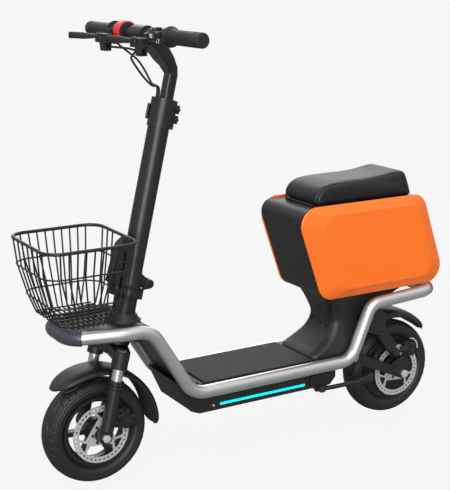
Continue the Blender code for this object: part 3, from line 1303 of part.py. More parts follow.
def build_basket_bracket():
    half = 0.0140
    wall = 0.0025
    rings = []
    for level, front, rear in ((0.3640, -0.0553, -0.0330), (0.3760, -0.0545, -0.0228),
                               (0.4430, -0.0490, -0.0228), (0.4610, -0.0347, -0.0228)):
        ring = [(-half, rear), (-half, front), (half, front), (half, rear), (half - wall, rear),
                (half - wall, front + wall), (-half + wall, front + wall), (-half + wall, rear)]
        rings.append([steer_point(x, y, level) for x, y in ring])
    cheek = [(-0.0545, 0.3680), (-0.0345, 0.3680), (-0.0345, 0.3520), (-0.0394, 0.3450), (-0.0560, 0.3530)]
    cheek = plate(cheek, half - wall - 0.0003, half + 0.0003)
    pin = placed(rod(0.002, -half + 0.001, half - 0.001, 8), at(LATCH_BACK, LATCH_T, 0))
    side = [cheek, flip_z(cheek), pin]
    for back, level in ((-0.0300, 0.4300), (-0.0450, 0.4200), (-0.0300, 0.3900)):
        screw = placed(bolt(0.0042, 0.0030), at(back, level, half - 0.0010))
        side += [screw, flip_z(screw)]
    pad = plate(window(0, -0.03535, 0.0122, 0.00965), 0.3840, 0.4300)
    shapes = [loft(rings)] + all_placed(side, STEER_SIDE) + [placed(pad, STEER)]
    publish('basket_bracket', shapes, 'black_metal', steer_point(0, FOLD_PIN_BACK, FOLD_PIN_T))
    paddle = arc(0.0055, 60, 200, 6, (LATCH_BACK, LATCH_T))
    paddle += [(-0.0500, 0.3430), (-0.0460, 0.3260), (-0.0400, 0.3255), (-0.0405, 0.3500)]
    hole = circle(bore(0.002, GAP, 8), 8, (LATCH_BACK, LATCH_T))
    paddle = placed(plate(paddle, -0.0106, 0.0106, [hole]), STEER_SIDE)
    publish('fold_latch', [paddle], 'black_metal', steer_point(0, LATCH_BACK, LATCH_T))


def basket_size(z):
    return blend(BASKET_LEVELS, z)


def basket_rim(z, steps):
    half, y0, y1 = basket_size(z)
    corners = [(-half, y0, z), (half, y0, z), (half, y1, z), (-half, y1, z)]
    return fillet(corners, BASKET_CORNER, steps)


def open_hoop(z, grow, steps, gap_half):
    half, y0, y1 = basket_size(z)
    points = [(gap_half, y1 + grow, z), (half + grow, y1 + grow, z), (half + grow, y0 - grow, z),
              (-half - grow, y0 - grow, z), (-half - grow, y1 + grow, z), (-gap_half, y1 + grow, z)]
    return fillet(points, BASKET_CORNER + grow, steps, closed=False)


def side_wire_path(f, ends, levels):
    column = []
    for z in (ends, levels[1], levels[2], BASKET_FLOOR):
        half, y0, y1 = basket_size(z)
        rim = BASKET_CORNER * (0.72 if z > BASKET_FLOOR else 0.62)
        column.append(Vector((half, y0 + rim + (y1 - y0 - 2 * rim) * f, z)))
    right = [Vector((-p.x, p.y, p.z)) for p in column[::-1]]
    return fillet(column + right, [0, 0, 0, 0.018, 0.018, 0, 0, 0], 1, closed=False)


def end_wire_paths(x, ends, levels, low):
    rim_half = basket_size(ends)[0]
    floor_half = basket_size(low)[0]
    front = []
    rear = []
    for z in (ends, levels[1], levels[2], low):
        y0, y1 = basket_size(z)[1:]
        across = x * (floor_half + (rim_half - floor_half) * (z - low) / (ends - low)) / rim_half
        front.append(Vector((across, y0, z)))
        rear.append(Vector((across, y1, z)))
    reach = Vector((0, 0.62 * BASKET_CORNER, 0))
    if x == 0:
        return [fillet(front + [front[-1] + reach], [0, 0, 0, 0.018, 0], 1, closed=False)]
    if abs(x) > BASKET_END_WIRES[0]:
        return [fillet(front + [front[-1] + reach], [0, 0, 0, 0.018, 0], 1, closed=False),
                fillet(rear + [rear[-1] - reach], [0, 0, 0, 0.018, 0], 1, closed=False)]
    return [fillet(front + rear[::-1], [0, 0, 0, 0.018, 0.018, 0, 0, 0], 1, closed=False)]


def build_basket():
    top_z = BASKET_LEVELS[0][0]
    levels = [level[0] for level in BASKET_LEVELS[:-1]]
    spread = 1.6 * WIRE_R
    wires = [wire(basket_rim(top_z, 2), RIM_WIRE_R, 6, closed=True)]
    for z, gap_half in zip(levels[1:], (0.0140 + GAP, 0.0185)):
        wires.append(wire(open_hoop(z, spread, 2, gap_half), WIRE_R, WIRE_SIDES))
    ends = top_z - 0.6 * RIM_WIRE_R
    for i in range(BASKET_SIDE_WIRES):
        wires.append(wire(side_wire_path(i / (BASKET_SIDE_WIRES - 1), ends, levels), WIRE_R, WIRE_SIDES))
    for share in (0.0, *BASKET_END_WIRES):
        for sign in ((1,) if share == 0 else (1, -1)):
            for path in end_wire_paths(sign * share, ends, levels, BASKET_FLOOR + spread):
                wires.append(wire(path, WIRE_R, WIRE_SIDES))
    publish('wire_basket', wires, 'black_metal', steer_point(0, FOLD_PIN_BACK, FOLD_PIN_T))


# Kickstand
STAND_AXIS = Vector((math.cos(STAND_TILT), 0, math.sin(STAND_TILT)))


def stand_bracket():
    line = [(0.1300, 0.1560), (0.1340, 0.1745), (0.1920, 0.1735), (0.1960, 0.1560), (0.1730, 0.1290),
            (0.1500, 0.1290)]
    line = [tuple(p) for p in fillet(line, 0.005, 2)]
    shapes = [placed(plate(line, 0.0765, 0.0795), ALONG_X)]
    for y, z in ((0.1410, 0.1650), (0.1850, 0.1640)):
        shapes.append(placed(bolt(0.0052, 0.0036), at(0.0790, y, z) @ ALONG_X))
        shapes.append(placed(rod(0.0060, CASE_HALF - 0.0012, 0.0772, 10), at(0, y, z) @ ALONG_X))
    pivot = Vector(STAND_PIVOT)
    flat = [Vector((0.0788, pivot.y + y, pivot.z + z)) for y, z in circle(0.0060, 10)]
    base = pivot - STAND_AXIS * 0.0058
    tilted = [p + Vector(((base - p).dot(STAND_AXIS) / STAND_AXIS.x, 0, 0)) for p in flat]
    frame = toward(pivot, STAND_AXIS)
    shapes.append(loft([flat, tilted]))
    shapes.append(placed(rod(0.0040, -0.0065, 0.0078), frame))
    shapes.append(placed(bolt(0.0070, 0.0028), frame @ at(0, 0, 0.0071)))
    return shapes


def build_kickstand():
    pivot = Vector(STAND_PIVOT)
    hub = placed(sleeve(0.0090, bore(0.0040, GAP, PIN_SIDES), -0.0052, 0.0068, 14), toward(pivot, STAND_AXIS))
    path = [pivot + Vector((0, 0.0065, 0)), pivot + Vector((0, 0.0400, -0.0010)),
            pivot + Vector((0, 0.0800, -0.0015)), pivot + Vector((0, STAND_REACH, -0.0020))]
    leg = wire(path, 0.0058, 10)
    heel = pivot + Vector((0, STAND_REACH - 0.0040, -0.0020))
    sole = [heel + Vector((x, 0, z)) for x, z in rounded_box(0.0066, -0.0066, 0.0066, 0.002, 1)]
    toe = [p + Vector(((p.x - heel.x) * 0.25, 0.0310, 0.0006)) for p in sole]
    publish('kickstand', [leg, hub, loft([sole, toe])], 'black_metal', pivot)


def clear_scene():
    for thing in list(bpy.data.objects):
        bpy.data.objects.remove(thing, do_unlink=True)


def main():
    clear_scene()
    build_frame_loop()
    build_nose_cap()
    build_tail_light()
    build_head_tube()
    build_front_cover()
    build_deck()
    build_battery_case()
    build_light_strips()
    build_seat_tower()
    build_storage_box()
    build_side_panels()
    build_rear_bracket()
    build_swing_pivot()
    build_rear_guard()
    build_seat_lid()
    build_cushion()
    build_swingarm()
    build_rear_axle()
    build_caliper('rear', REAR_AXLE, math.radians(64), REAR_DISC_X, [rear_cable()])
    build_shocks()
    build_rear_hub()
    build_tyre('rear_tyre', REAR_AXLE)
    build_disc('rear_disc', REAR_AXLE, REAR_DISC_X, 0.0150)
    build_fork_crown()
    build_stanchions()
    build_column()
    build_sliders()
    build_front_axle()
    build_front_guard()
    slot = placed(plate(caliper_tab(GAP), 0.0515 - GAP, 0.0548 + GAP), STEER_SIDE)
    build_caliper('front', FRONT_AXLE, math.radians(29), FRONT_DISC_X, cuts=[slot])
    build_front_rim()
    build_tyre('front_tyre', FRONT_AXLE)
    build_disc('front_disc', FRONT_AXLE, FRONT_DISC_X, 0.0150)
    build_stem()
    build_collar()
    build_handlebar()
    build_grips()
    build_levers()
    build_controls()
    build_throttle()
    build_cables()
    build_basket_bracket()
    build_basket()
    build_kickstand()


main()
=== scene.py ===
import json
from math import asin, atan2, copysign, cos, degrees, exp, hypot, pi, radians, sin, sqrt, tan

import bmesh
import bpy
from mathutils import Matrix, Vector
from mathutils.geometry import tessellate_polygon

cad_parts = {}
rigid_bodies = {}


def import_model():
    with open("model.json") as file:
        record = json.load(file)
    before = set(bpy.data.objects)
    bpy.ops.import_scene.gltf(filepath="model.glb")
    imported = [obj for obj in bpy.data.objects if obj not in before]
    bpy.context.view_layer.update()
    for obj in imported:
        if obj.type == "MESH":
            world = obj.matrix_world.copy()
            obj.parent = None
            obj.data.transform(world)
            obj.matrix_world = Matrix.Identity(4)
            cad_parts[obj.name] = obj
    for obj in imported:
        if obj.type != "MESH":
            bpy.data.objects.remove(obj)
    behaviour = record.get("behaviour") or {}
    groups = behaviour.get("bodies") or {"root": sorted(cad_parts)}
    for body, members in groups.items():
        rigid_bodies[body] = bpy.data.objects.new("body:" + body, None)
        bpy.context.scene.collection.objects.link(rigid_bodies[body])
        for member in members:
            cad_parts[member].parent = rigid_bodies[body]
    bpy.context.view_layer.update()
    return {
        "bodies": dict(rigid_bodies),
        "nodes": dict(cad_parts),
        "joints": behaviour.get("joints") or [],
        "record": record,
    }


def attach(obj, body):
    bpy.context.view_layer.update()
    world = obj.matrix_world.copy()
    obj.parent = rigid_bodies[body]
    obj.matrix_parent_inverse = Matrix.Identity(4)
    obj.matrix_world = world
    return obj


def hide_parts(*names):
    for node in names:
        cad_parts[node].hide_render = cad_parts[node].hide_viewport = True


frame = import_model()
RECORD = frame["record"]
BODY_OF = {node: body for body, nodes in RECORD["behaviour"]["bodies"].items() for node in nodes}

# Metres, +Z up, the front faces -Y. Shapes are made in a frame midway between the axles,
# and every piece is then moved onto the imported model.

# General clearances
GAP = 0.0003
RUNNING = 0.0001

# Facet counts
FINER = 4
WHEEL_SIDES = 28
ROUND_SIDES = 16
PIN_SIDES = 8
TUBE_SIDES = 48
WIRE_SIDES = 12
ARC_STEPS = 2

# Wheels
AXLE_Y = 0.4301
TYRE_R = 0.1275
TYRE_HALF = 0.0332
BEAD_R = 0.0805
BEAD_HALF = 0.0199
RIM_LIP = 0.0845
RIM_HALF = 0.0225
FRONT_AXLE_R = 0.006
REAR_AXLE_R = 0.0068

# Brake discs
DISC_R = 0.07
DISC_THICK = 0.002
DISC_HOLES = 36
DISC_HOLE_R = 0.00247
DISC_HOLE_RING = 0.063
DISC_BOLTS = 6
DISC_BOLT_RING = 0.0215
DISC_ARMS = 6
DISC_BORE = 0.015
FRONT_DISC_X = 0.0406
REAR_DISC_X = 0.0497

# Calipers: the turn round the axle, the radius of the pads and the tab that the front one sits on
FRONT_CALIPER_TURN = radians(29)
REAR_CALIPER_TURN = radians(64)
PAD_R = 0.0655
TAB_IN = 0.0515
TAB_OUT = 0.0548

# Steering axis
RAKE = radians(13.2)
AXIS_FOOT_Y = -0.40953
AXIS_FOOT_Z = 0.12268
FORK_OFFSET = 0.0211

# Fork
LEG_X = 0.066
STANCHION_R = 0.013
SLIDER_R = 0.0155
SOCKET_R = 0.02
CROWN_LOW = 0.186
CROWN_HIGH = 0.2085
STEERER_R = 0.0142
HEAD_R = 0.025
COLUMN_R = 0.026
COLUMN_LOW = 0.294

# Stem
FOLD_T = 0.347
FOLD_PIN_T = 0.36
FOLD_PIN_BACK = 0.043
KNUCKLE_R = 0.014
STEM_R = 0.025
STEM_BORE = 0.0228
STEM_TOP = 0.786
COLLAR_LOW = 0.722
COLLAR_R = 0.028
NECK_BACK_R = 0.0165
NECK_CENTRE = 0.0055
NECK_FLAT = 0.0105
NECK_LOW = 0.6
NECK_ROUNDING = 0.55
CABLE_R = 0.0025
CABLE_PERP = -0.0185

# Handlebar
BAR_Y = -0.2818
BAR_Z = 1.0383
BAR_R = 0.0125
BAR_HALF = 0.276
GRIP_R = 0.0165
GRIP_START = 0.137
GRIP_END = 0.2783
RING_R = 0.0255
RING_IN = -0.07
RING_OUT = -0.1
LEVER_Y = -0.325
RIGHT_PIVOT_X = -0.13
LEFT_PIVOT_X = 0.0526
RIGHT_REACH = 0.1466
LEFT_REACH = 0.1126
LEVER_Z = 1.027

# Frame tube
TUBE_R = 0.016
TUBE_X = 0.095
NOSE_Y = -0.508
NOSE_Z = 0.3775
DECK_TUBE_Z = 0.2015
TAIL_Y = 0.501
TAIL_Z = 0.3539

# Deck and battery case
DECK_LOW = 0.209
DECK_TOP = 0.2165
DECK_HALF = 0.0785
MAT_TOP = 0.2205
MAT_HALF = 0.083
CASE_HALF = 0.0745
CASE_WALL = 0.003
CASE_BOTTOM = 0.139
STRIP_Z = 0.1535
STRIP_HEIGHT = 0.006

# Seat box
BOX_HALF = 0.089
BOX_WALL = 0.003
BOX_TOP = 0.6065
BOX_BOTTOM = 0.371
BOX_SHEAR = 0.345
PANEL_FACE_X = 0.107
PANEL_TOP = 0.612
PANEL_RADIUS = 0.045
BOX_FRONT = (0.092, 0.557)
BOX_REAR = (0.480, 0.577)
LID_OPENING_HALF = 0.062
LID_OPENING_FRONT = 0.165
LID_OPENING_REAR = 0.43
LID_HINGE_Y = 0.1455
LID_HINGE_Z = 0.6098
CUSHION_LOW = 0.6095
CUSHION_HALF = 0.078

# Rear suspension
PIVOT_Y = 0.2675
PIVOT_Z = 0.2005
ARM_X = 0.068
ARM_HALF = 0.011
SHOCK_TOP = (0.3443, 0.263)
SHOCK_FOOT = (0.4228, 0.1672)
SHOCK_X = 0.068
SHOCK_R = 0.0155
SHOCK_PIN_R = 0.004

# Mudguards
REAR_GUARD_CENTRE = (0.415, 0.135)
GUARD_R = 0.158
GUARD_THICK = 0.0022
GUARD_ROUNDING = 0.6667
GUARD_SAG = 0.0135

# Basket
RIM_WIRE_R = 0.004
WIRE_R = 0.002
BASKET_FLOOR = 0.4075
BASKET_LEVELS = ((0.59, 0.12, -0.575, -0.353), (0.53, 0.108, -0.57, -0.36), (0.46, 0.1, -0.552, -0.371),
                 (BASKET_FLOOR, 0.091, -0.532, -0.388))
BASKET_CORNER = 0.04
BASKET_SIDE_WIRES = 9
BASKET_END_WIRES = (0.03, 0.058, 0.086)

# Kickstand
STAND_PIVOT = (0.0885, 0.161, 0.138)
STAND_TILT = radians(20.0)
STAND_REACH = 0.1235

# The working origin lies midway between the axles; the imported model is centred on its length.
FRONT_END = BASKET_LEVELS[0][2] - RIM_WIRE_R * cos(pi / 6)
REAR_END = AXLE_Y + TYRE_R
CENTRE_SHIFT = -(FRONT_END + REAR_END) / 2

# Frames of reference: along the X axis, and along the steering axis
ALONG_X = Matrix(((0, 0, 1, 0), (1, 0, 0, 0), (0, 1, 0, 0), (0, 0, 0, 1)))
BACK = Vector((0, cos(RAKE), -sin(RAKE)))
UP = Vector((0, sin(RAKE), cos(RAKE)))
AXIS_FOOT = Vector((0, AXIS_FOOT_Y, AXIS_FOOT_Z))
STEER = Matrix.Translation(AXIS_FOOT) @ Matrix(((1, 0, 0), (0, BACK.y, UP.y), (0, BACK.z, UP.z))).to_4x4()
STEER_SIDE = STEER @ ALONG_X
LEG = STEER @ Matrix.Translation((LEG_X, -FORK_OFFSET, 0))
FRONT_AXLE = Vector((0, -AXLE_Y, TYRE_R))
REAR_AXLE = Vector((0, AXLE_Y, TYRE_R))


# Placing and building shapes; a shape is a pair of vertices and faces
def steer_point(x, back, up):
    return STEER @ Vector((x, back, up))


def steer_ring(outline, up):
    return [steer_point(x, back, up) for x, back in outline]


def at(x, y, z):
    return Matrix.Translation((x, y, z))


def toward(origin, direction):
    turn = Vector(direction).to_track_quat('Z', 'Y').to_matrix().to_4x4()
    return Matrix.Translation(origin) @ turn


def placed(shape, matrix):
    verts, faces = shape
    return ([matrix @ Vector(v) for v in verts], faces)


def turned(shape, x=0, y=0, z=0):
    return placed(shape, at(x, y, z) @ ALONG_X)


def group(*shapes):
    verts = []
    faces = []
    for part_verts, part_faces in shapes:
        start = len(verts)
        verts.extend(part_verts)
        faces.extend((tuple((start + i for i in face)) for face in part_faces))
    return (verts, faces)


def mirrored(shape):
    verts, faces = shape
    return ([Vector((-v[0], v[1], v[2])) for v in verts], faces)


def both(*shapes):
    return [side for shape in shapes for side in (shape, mirrored(shape))]


def mirror_path(path):
    return [Vector((-p.x, p.y, p.z)) for p in path]


def fine(sides):
    return sides * FINER if 6 < sides < 40 else sides


def polar(radius, angle, centre=(0, 0)):
    return (centre[0] + radius * cos(angle), centre[1] + radius * sin(angle))


def circle(radius, sides, centre=(0, 0), start=0.0):
    sides = fine(sides)
    step = 2 * pi / sides
    return [polar(radius, start + i * step, centre) for i in range(sides)]


def arc(radius, first, last, steps, centre=(0, 0)):
    steps *= FINER
    return [polar(radius, radians(first + (last - first) * i / steps), centre) for i in range(steps + 1)]


def bore(radius, clearance, sides):
    return (radius + clearance) / cos(pi / fine(sides))


def box(x0, y0, x1, y1):
    return [(x0, y0), (x1, y0), (x1, y1), (x0, y1)]


def fillet(points, radius, steps, closed=True):
    points = [Vector(p) for p in points]
    radii = radius if isinstance(radius, (list, tuple)) else [radius] * len(points)
    rounded = []
    steps *= FINER
    for i, here in enumerate(points):
        if not closed and i in (0, len(points) - 1):
            rounded.append(here)
            continue
        before = (points[i - 1] - here).normalized()
        after = (points[(i + 1) % len(points)] - here).normalized()
        half = before.angle(after) / 2
        if radii[i] <= 0 or half > radians(89.5):
            rounded.append(here)
            continue
        setback = radii[i] / tan(half)
        centre = here + (before + after).normalized() * (radii[i] / sin(half))
        first = here + before * setback - centre
        last = here + after * setback - centre
        sweep = first.angle(last)
        for k in range(steps + 1):
            f = k / steps
            spoke = (first * sin((1 - f) * sweep) + last * sin(f * sweep)) / sin(sweep)
            rounded.append(centre + spoke)
    return rounded


def rounded_box(half_x, y0, y1, radius, steps=ARC_STEPS):
    corners = box(-half_x, y0, half_x, y1)
    return fillet(corners, radius, steps)


def loft(rings, ends=True):
    count = len(rings[0])
    verts = [Vector(p) for ring in rings for p in ring]
    faces = []
    spans = len(rings) - 1 if ends else len(rings)
    for i in range(spans):
        a = i * count
        b = (i + 1) % len(rings) * count
        for j in range(count):
            k = (j + 1) % count
            faces.append((a + j, a + k, b + k, b + j))
    if ends:
        faces.append(tuple(reversed(range(count))))
        faces.append(tuple(range(len(verts) - count, len(verts))))
    return (verts, faces)


def plate(outline, low, high, holes=()):
    loops = [[Vector((p[0], p[1], 0)) for p in loop] for loop in (outline, *holes)]
    flat = [p for loop in loops for p in loop]
    total = len(flat)
    verts = [Vector((p.x, p.y, low)) for p in flat] + [Vector((p.x, p.y, high)) for p in flat]
    faces = []
    start = 0
    for loop in loops:
        count = len(loop)
        for j in range(count):
            k = (j + 1) % count
            faces.append((start + j, start + k, total + start + k, total + start + j))
        start += count
    if holes:
        for a, b, c in tessellate_polygon(loops):
            faces.append((a, b, c))
            faces.append((total + c, total + b, total + a))
    else:
        faces.append(tuple(reversed(range(total))))
        faces.append(tuple(range(total, 2 * total)))
    return (verts, faces)


def lathe(profile, sides, closed=True):
    sides = fine(sides)
    verts = []
    rows = []
    for radius, height in profile:
        if radius < 1e-06:
            rows.append([len(verts)])
            verts.append(Vector((0, 0, height)))
            continue
        rows.append(list(range(len(verts), len(verts) + sides)))
        verts.extend((Vector((x, y, height)) for x, y in circle(radius, sides)))
    faces = []
    spans = len(rows) if closed else len(rows) - 1
    for i in range(spans):
        a = rows[i]
        b = rows[(i + 1) % len(rows)]
        if len(a) == 1 and len(b) == 1:
            continue
        for j in range(sides):
            k = (j + 1) % sides
            if len(a) == 1:
                faces.append((a[0], b[k], b[j]))
            elif len(b) == 1:
                faces.append((a[j], a[k], b[0]))
            else:
                faces.append((a[j], a[k], b[k], b[j]))
    return (verts, faces)


def rod(radius, low, high, sides=PIN_SIDES):
    return plate(circle(radius, sides), low, high)


def sleeve(outer, inner, low, high, sides=ROUND_SIDES):
    return lathe([(outer, low), (outer, high), (inner, high), (inner, low)], sides)


def bolt(radius, height):
    socket = height * 0.45
    return lathe([(0, 0), (radius, 0), (radius, height * 0.55), (radius * 0.86, height * 0.90),
                  (radius * 0.66, height), (radius * 0.50, height), (radius * 0.46, socket), (0, socket)],
                 12, closed=False)


def heading(points, i):
    return (points[min(i + 1, len(points) - 1)] - points[max(i - 1, 0)]).normalized()


def left_normal(points, i):
    ahead = heading(points, i)
    return Vector((-ahead.y, ahead.x))


def frames_along(path, closed=False):
    path = [Vector(p) for p in path]
    frames = []
    side = None
    for i, here in enumerate(path):
        ahead = (path[(i + 1) % len(path)] - path[i - 1]).normalized() if closed else heading(path, i)
        if side is None:
            side = Vector((0, 0, 1)) if abs(ahead.z) < 0.9 else Vector((1, 0, 0))
        side = (side - ahead * side.dot(ahead)).normalized()
        frames.append((here, side, ahead.cross(side)))
    return frames


def rings_along(frames, outline):
    return [[here + side * p[0] + across * p[1] for p in outline] for here, side, across in frames]


def round_outline(radius, sides):
    return [polar(radius, 2 * pi * i / sides) for i in range(sides)]


def wire(path, radius, sides=WIRE_SIDES, closed=False):
    return loft(rings_along(frames_along(path, closed), round_outline(radius, sides)), ends=not closed)


# The first and last points of a pipe's or a shell's path only set the direction of its ends.
def pipe(path, outer, inner, sides):
    frames = frames_along(path)[1:-1]
    rings = rings_along(frames, circle(outer, sides)) + rings_along(frames, circle(inner, sides))[::-1]
    return loft(rings, ends=False)


def shell_along(path, outer, inner, first, last, steps):
    outline = arc(outer, first, last, steps) + arc(inner, last, first, steps)
    return loft(rings_along(frames_along(path)[1:-1], outline))


def ribbon(points, thickness):
    points = [Vector(p) for p in points]
    sides = [left_normal(points, i) * thickness / 2 for i in range(len(points))]
    upper = [p + side for p, side in zip(points, sides)]
    lower = [p - side for p, side in zip(points, sides)]
    return upper + lower[::-1]


def smooth_path(points, steps):
    steps *= FINER
    points = [Vector(p) for p in points]
    ends = [2 * points[0] - points[1]] + points + [2 * points[-1] - points[-2]]
    path = []
    for i in range(1, len(ends) - 2):
        p0, p1, p2, p3 = ends[i - 1:i + 3]
        for k in range(steps):
            f = k / steps
            path.append(0.5 * (2 * p1 + (p2 - p0) * f + (2 * p0 - 5 * p1 + 4 * p2 - p3) * f * f
                               + (3 * p1 - p0 - 3 * p2 + p3) * f * f * f))
    path.append(points[-1])
    return path


def blend(table, value):
    rows = sorted(table)
    if value <= rows[0][0]:
        return rows[0][1:]
    for low, high in zip(rows, rows[1:]):
        if value <= high[0]:
            f = (value - low[0]) / (high[0] - low[0])
            return tuple((a + (b - a) * f for a, b in zip(low[1:], high[1:])))
    return rows[-1][1:]


# Materials
def set_inputs(tree, node, **inputs):
    for name, value in inputs.items():
        socket = node.inputs[name.replace('_', ' ')]
        if isinstance(value, bpy.types.NodeSocket):
            tree.links.new(value, socket)
        else:
            socket.default_value = value
    return node


def add_node(tree, kind, **inputs):
    return set_inputs(tree, tree.nodes.new(kind), **inputs)


def mix_to(tree, kind, share, first, second):
    mix = add_node(tree, 'ShaderNodeMixShader', Fac=share)
    tree.links.new(first, mix.inputs[1])
    tree.links.new(second, mix.inputs[2])
    add_node(tree, kind, Surface=mix.outputs['Shader'])


def look(name, colour, rough, metallic=0.0, mottle=0.03, cloud=9.0, rough_swing=0.02, rough_scale=60.0, grain=900.0,
         bump=0.02, depth=0.0001, stretch=(1, 1, 1), coat=0.0, specular=0.5, glow=0.0, cells=0.0):
    skin = bpy.data.materials.new(name)
    skin.use_nodes = True
    skin.diffuse_color = (*colour, 1)
    tree = skin.node_tree
    place = add_node(tree, 'ShaderNodeTexCoord').outputs['Object']
    cloudy = add_node(tree, 'ShaderNodeTexNoise', Vector=place, Scale=cloud, Detail=4.0)
    ramp = add_node(tree, 'ShaderNodeValToRGB', Fac=cloudy.outputs['Fac'])
    for element, position, share in zip(ramp.color_ramp.elements, (0.30, 0.70), (1 - mottle, 1 + mottle)):
        element.position = position
        element.color = (*[min(1.0, c * share) for c in colour], 1)
    drawn = add_node(tree, 'ShaderNodeMapping', Vector=place, Scale=stretch).outputs['Vector']
    wear = add_node(tree, 'ShaderNodeTexNoise', Vector=drawn, Scale=rough_scale, Detail=3.0)
    span = add_node(tree, 'ShaderNodeMapRange', Value=wear.outputs['Fac'], From_Min=0.3, From_Max=0.7,
                    To_Min=rough - rough_swing, To_Max=rough + rough_swing)
    fine_grain = add_node(tree, 'ShaderNodeTexNoise', Vector=drawn, Scale=grain, Detail=2.0)
    relief = add_node(tree, 'ShaderNodeBump', Strength=bump, Distance=depth, Height=fine_grain.outputs['Fac'])
    if cells:
        pores = add_node(tree, 'ShaderNodeTexVoronoi', Vector=place, Scale=cells)
        pores.feature = 'DISTANCE_TO_EDGE'
        relief = add_node(tree, 'ShaderNodeBump', Strength=0.12, Distance=0.0003, Height=pores.outputs['Distance'],
                          Normal=relief.outputs['Normal'])
    shader = set_inputs(tree, tree.nodes['Principled BSDF'], Base_Color=ramp.outputs['Color'],
                        Roughness=span.outputs['Result'], Normal=relief.outputs['Normal'], Metallic=metallic,
                        Specular_IOR_Level=specular, Coat_Weight=coat, Coat_Roughness=0.12)
    if glow:
        set_inputs(tree, shader, Emission_Color=(*colour, 1), Emission_Strength=glow)
    return skin


LOOKS = {
    'black_metal': look('powder_coat', (0.017, 0.017, 0.0175), 0.36, grain=2400, bump=0.04),
    'black_plastic': look('moulded_plastic', (0.015, 0.015, 0.0155), 0.44, grain=1800, bump=0.06, depth=0.0002),
    'silver': look('silver_paint', (0.72, 0.72, 0.73), 0.34, 0.85, mottle=0.012, rough_swing=0.012, grain=2600,
                   bump=0.03),
    'chrome': look('polished_steel', (0.78, 0.78, 0.79), 0.20, 1.0, rough_swing=0.03, depth=0.0003),
    'steel': look('brushed_steel', (0.66, 0.66, 0.67), 0.42, 0.45, rough_swing=0.03, rough_scale=300,
                  stretch=(1, 0.06, 1), bump=0.06),
    'rubber': look('grip_rubber', (0.014, 0.014, 0.014), 0.52, mottle=0.04, rough_swing=0.06, bump=0.12,
                   depth=0.0003),
    'tyre': look('tyre_rubber', (0.016, 0.016, 0.016), 0.46, mottle=0.05, cloud=30, rough_swing=0.03, grain=600,
                 bump=0.10, depth=0.0003),
    'mat': look('mat_rubber', (0.036, 0.036, 0.036), 0.62, mottle=0.02, bump=0.15, depth=0.0003, specular=0.12),
    'orange': look('orange_plastic', (1.0, 0.185, 0.014), 0.42, mottle=0.01, rough_swing=0.015, grain=1800,
                   bump=0.03),
    'red': look('red_anodised', (0.92, 0.022, 0.018), 0.34, mottle=0.02),
    'cyan': look('light_strip', (0.0, 0.88, 0.90), 0.30, mottle=0.02, rough_swing=0.06, depth=0.0003, glow=0.75),
    'cushion': look('seat_leather', (0.0085, 0.0085, 0.009), 0.46, mottle=0.04, cloud=14.0, rough_swing=0.03,
                    rough_scale=90.0, bump=0.10, depth=0.0003, cells=420.0),
    'smoke': look('smoked_lens', (0.060, 0.065, 0.082), 0.34, 0.1, mottle=0.02, rough_swing=0.015, coat=0.15),
    'red_lens': look('red_lens', (0.30, 0.008, 0.012), 0.22, glow=0.05),
    'pale': look('cable_sleeve', (0.55, 0.56, 0.60), 0.40, bump=0.03)}


# Pieces
def mesh_object(name, shape):
    verts, faces = shape
    mesh = bpy.data.meshes.new(name)
    mesh.from_pydata([Vector(v) for v in verts], [], faces)
    work = bmesh.new()
    work.from_mesh(mesh)
    bmesh.ops.recalc_face_normals(work, faces=work.faces)
    work.to_mesh(mesh)
    work.free()
    thing = bpy.data.objects.new(name, mesh)
    bpy.context.scene.collection.objects.link(thing)
    thing.location = (0, CENTRE_SHIFT, 0)
    return thing


def apply_modifiers(thing):
    graph = bpy.context.evaluated_depsgraph_get()
    mesh = bpy.data.meshes.new_from_object(thing.evaluated_get(graph))
    thing.modifiers.clear()
    thing.data = mesh


def cut_away(thing, cuts):
    tool = mesh_object(thing.name + '_cut', group(*cuts))
    step = thing.modifiers.new('cut', 'BOOLEAN')
    step.operation = 'DIFFERENCE'
    step.solver = 'EXACT'
    step.use_self = True
    step.object = tool
    bpy.context.view_layer.update()
    apply_modifiers(thing)
    bpy.data.objects.remove(tool, do_unlink=True)


def clothe(thing, skin):
    thing.data.materials.clear()
    thing.data.materials.append(LOOKS[skin])
    for polygon in thing.data.polygons:
        polygon.use_smooth = True


def piece(name, shapes, skin, node, cuts=(), bevel=0.0005, angle=32):
    thing = mesh_object(name, group(*shapes))
    if cuts:
        cut_away(thing, cuts)
    clothe(thing, skin)
    thing.data.set_sharp_from_angle(angle=radians(angle))
    if bevel:
        edge = thing.modifiers.new('edges', 'BEVEL')
        edge.width = bevel
        edge.segments = 3 if bevel > 0.0015 else 2
        edge.limit_method = 'ANGLE'
        edge.angle_limit = radians(angle)
        edge.harden_normals = True
        edge.use_clamp_overlap = True
    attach(thing, BODY_OF[node])
    return thing


BEVELS = {node: width for width, nodes in (
    (0, 'wire_basket frame_loop front_tyre rear_tyre'), (0.0002, 'front_disc rear_disc'), (0.0003, 'cable_harness'),
    (0.0004, 'front_mudguard rear_mudguard'), (0.0006, 'throttle_ring'),
    (0.0008, 'front_brake_arm rear_brake_arm seat_tower kickstand'),
    (0.0010, 'storage_box basket_bracket head_tube'),
    (0.0012, 'steering_column battery_case handlebar left_controls right_controls front_rim rear_hub'),
    (0.0014, 'fork_crown'), (0.0016, 'side_panel_left side_panel_right'), (0.0018, 'front_caliper rear_caliper'),
    (0.0085, 'swingarm')) for node in nodes.split()}


def publish(name, shapes, skin='black_metal', cuts=()):
    crease = 9 if name.startswith('side_panel') else 32
    thing = piece(name + '_form', shapes, skin, name, cuts, BEVELS.get(name, 0.0005), crease)
    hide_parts(name)


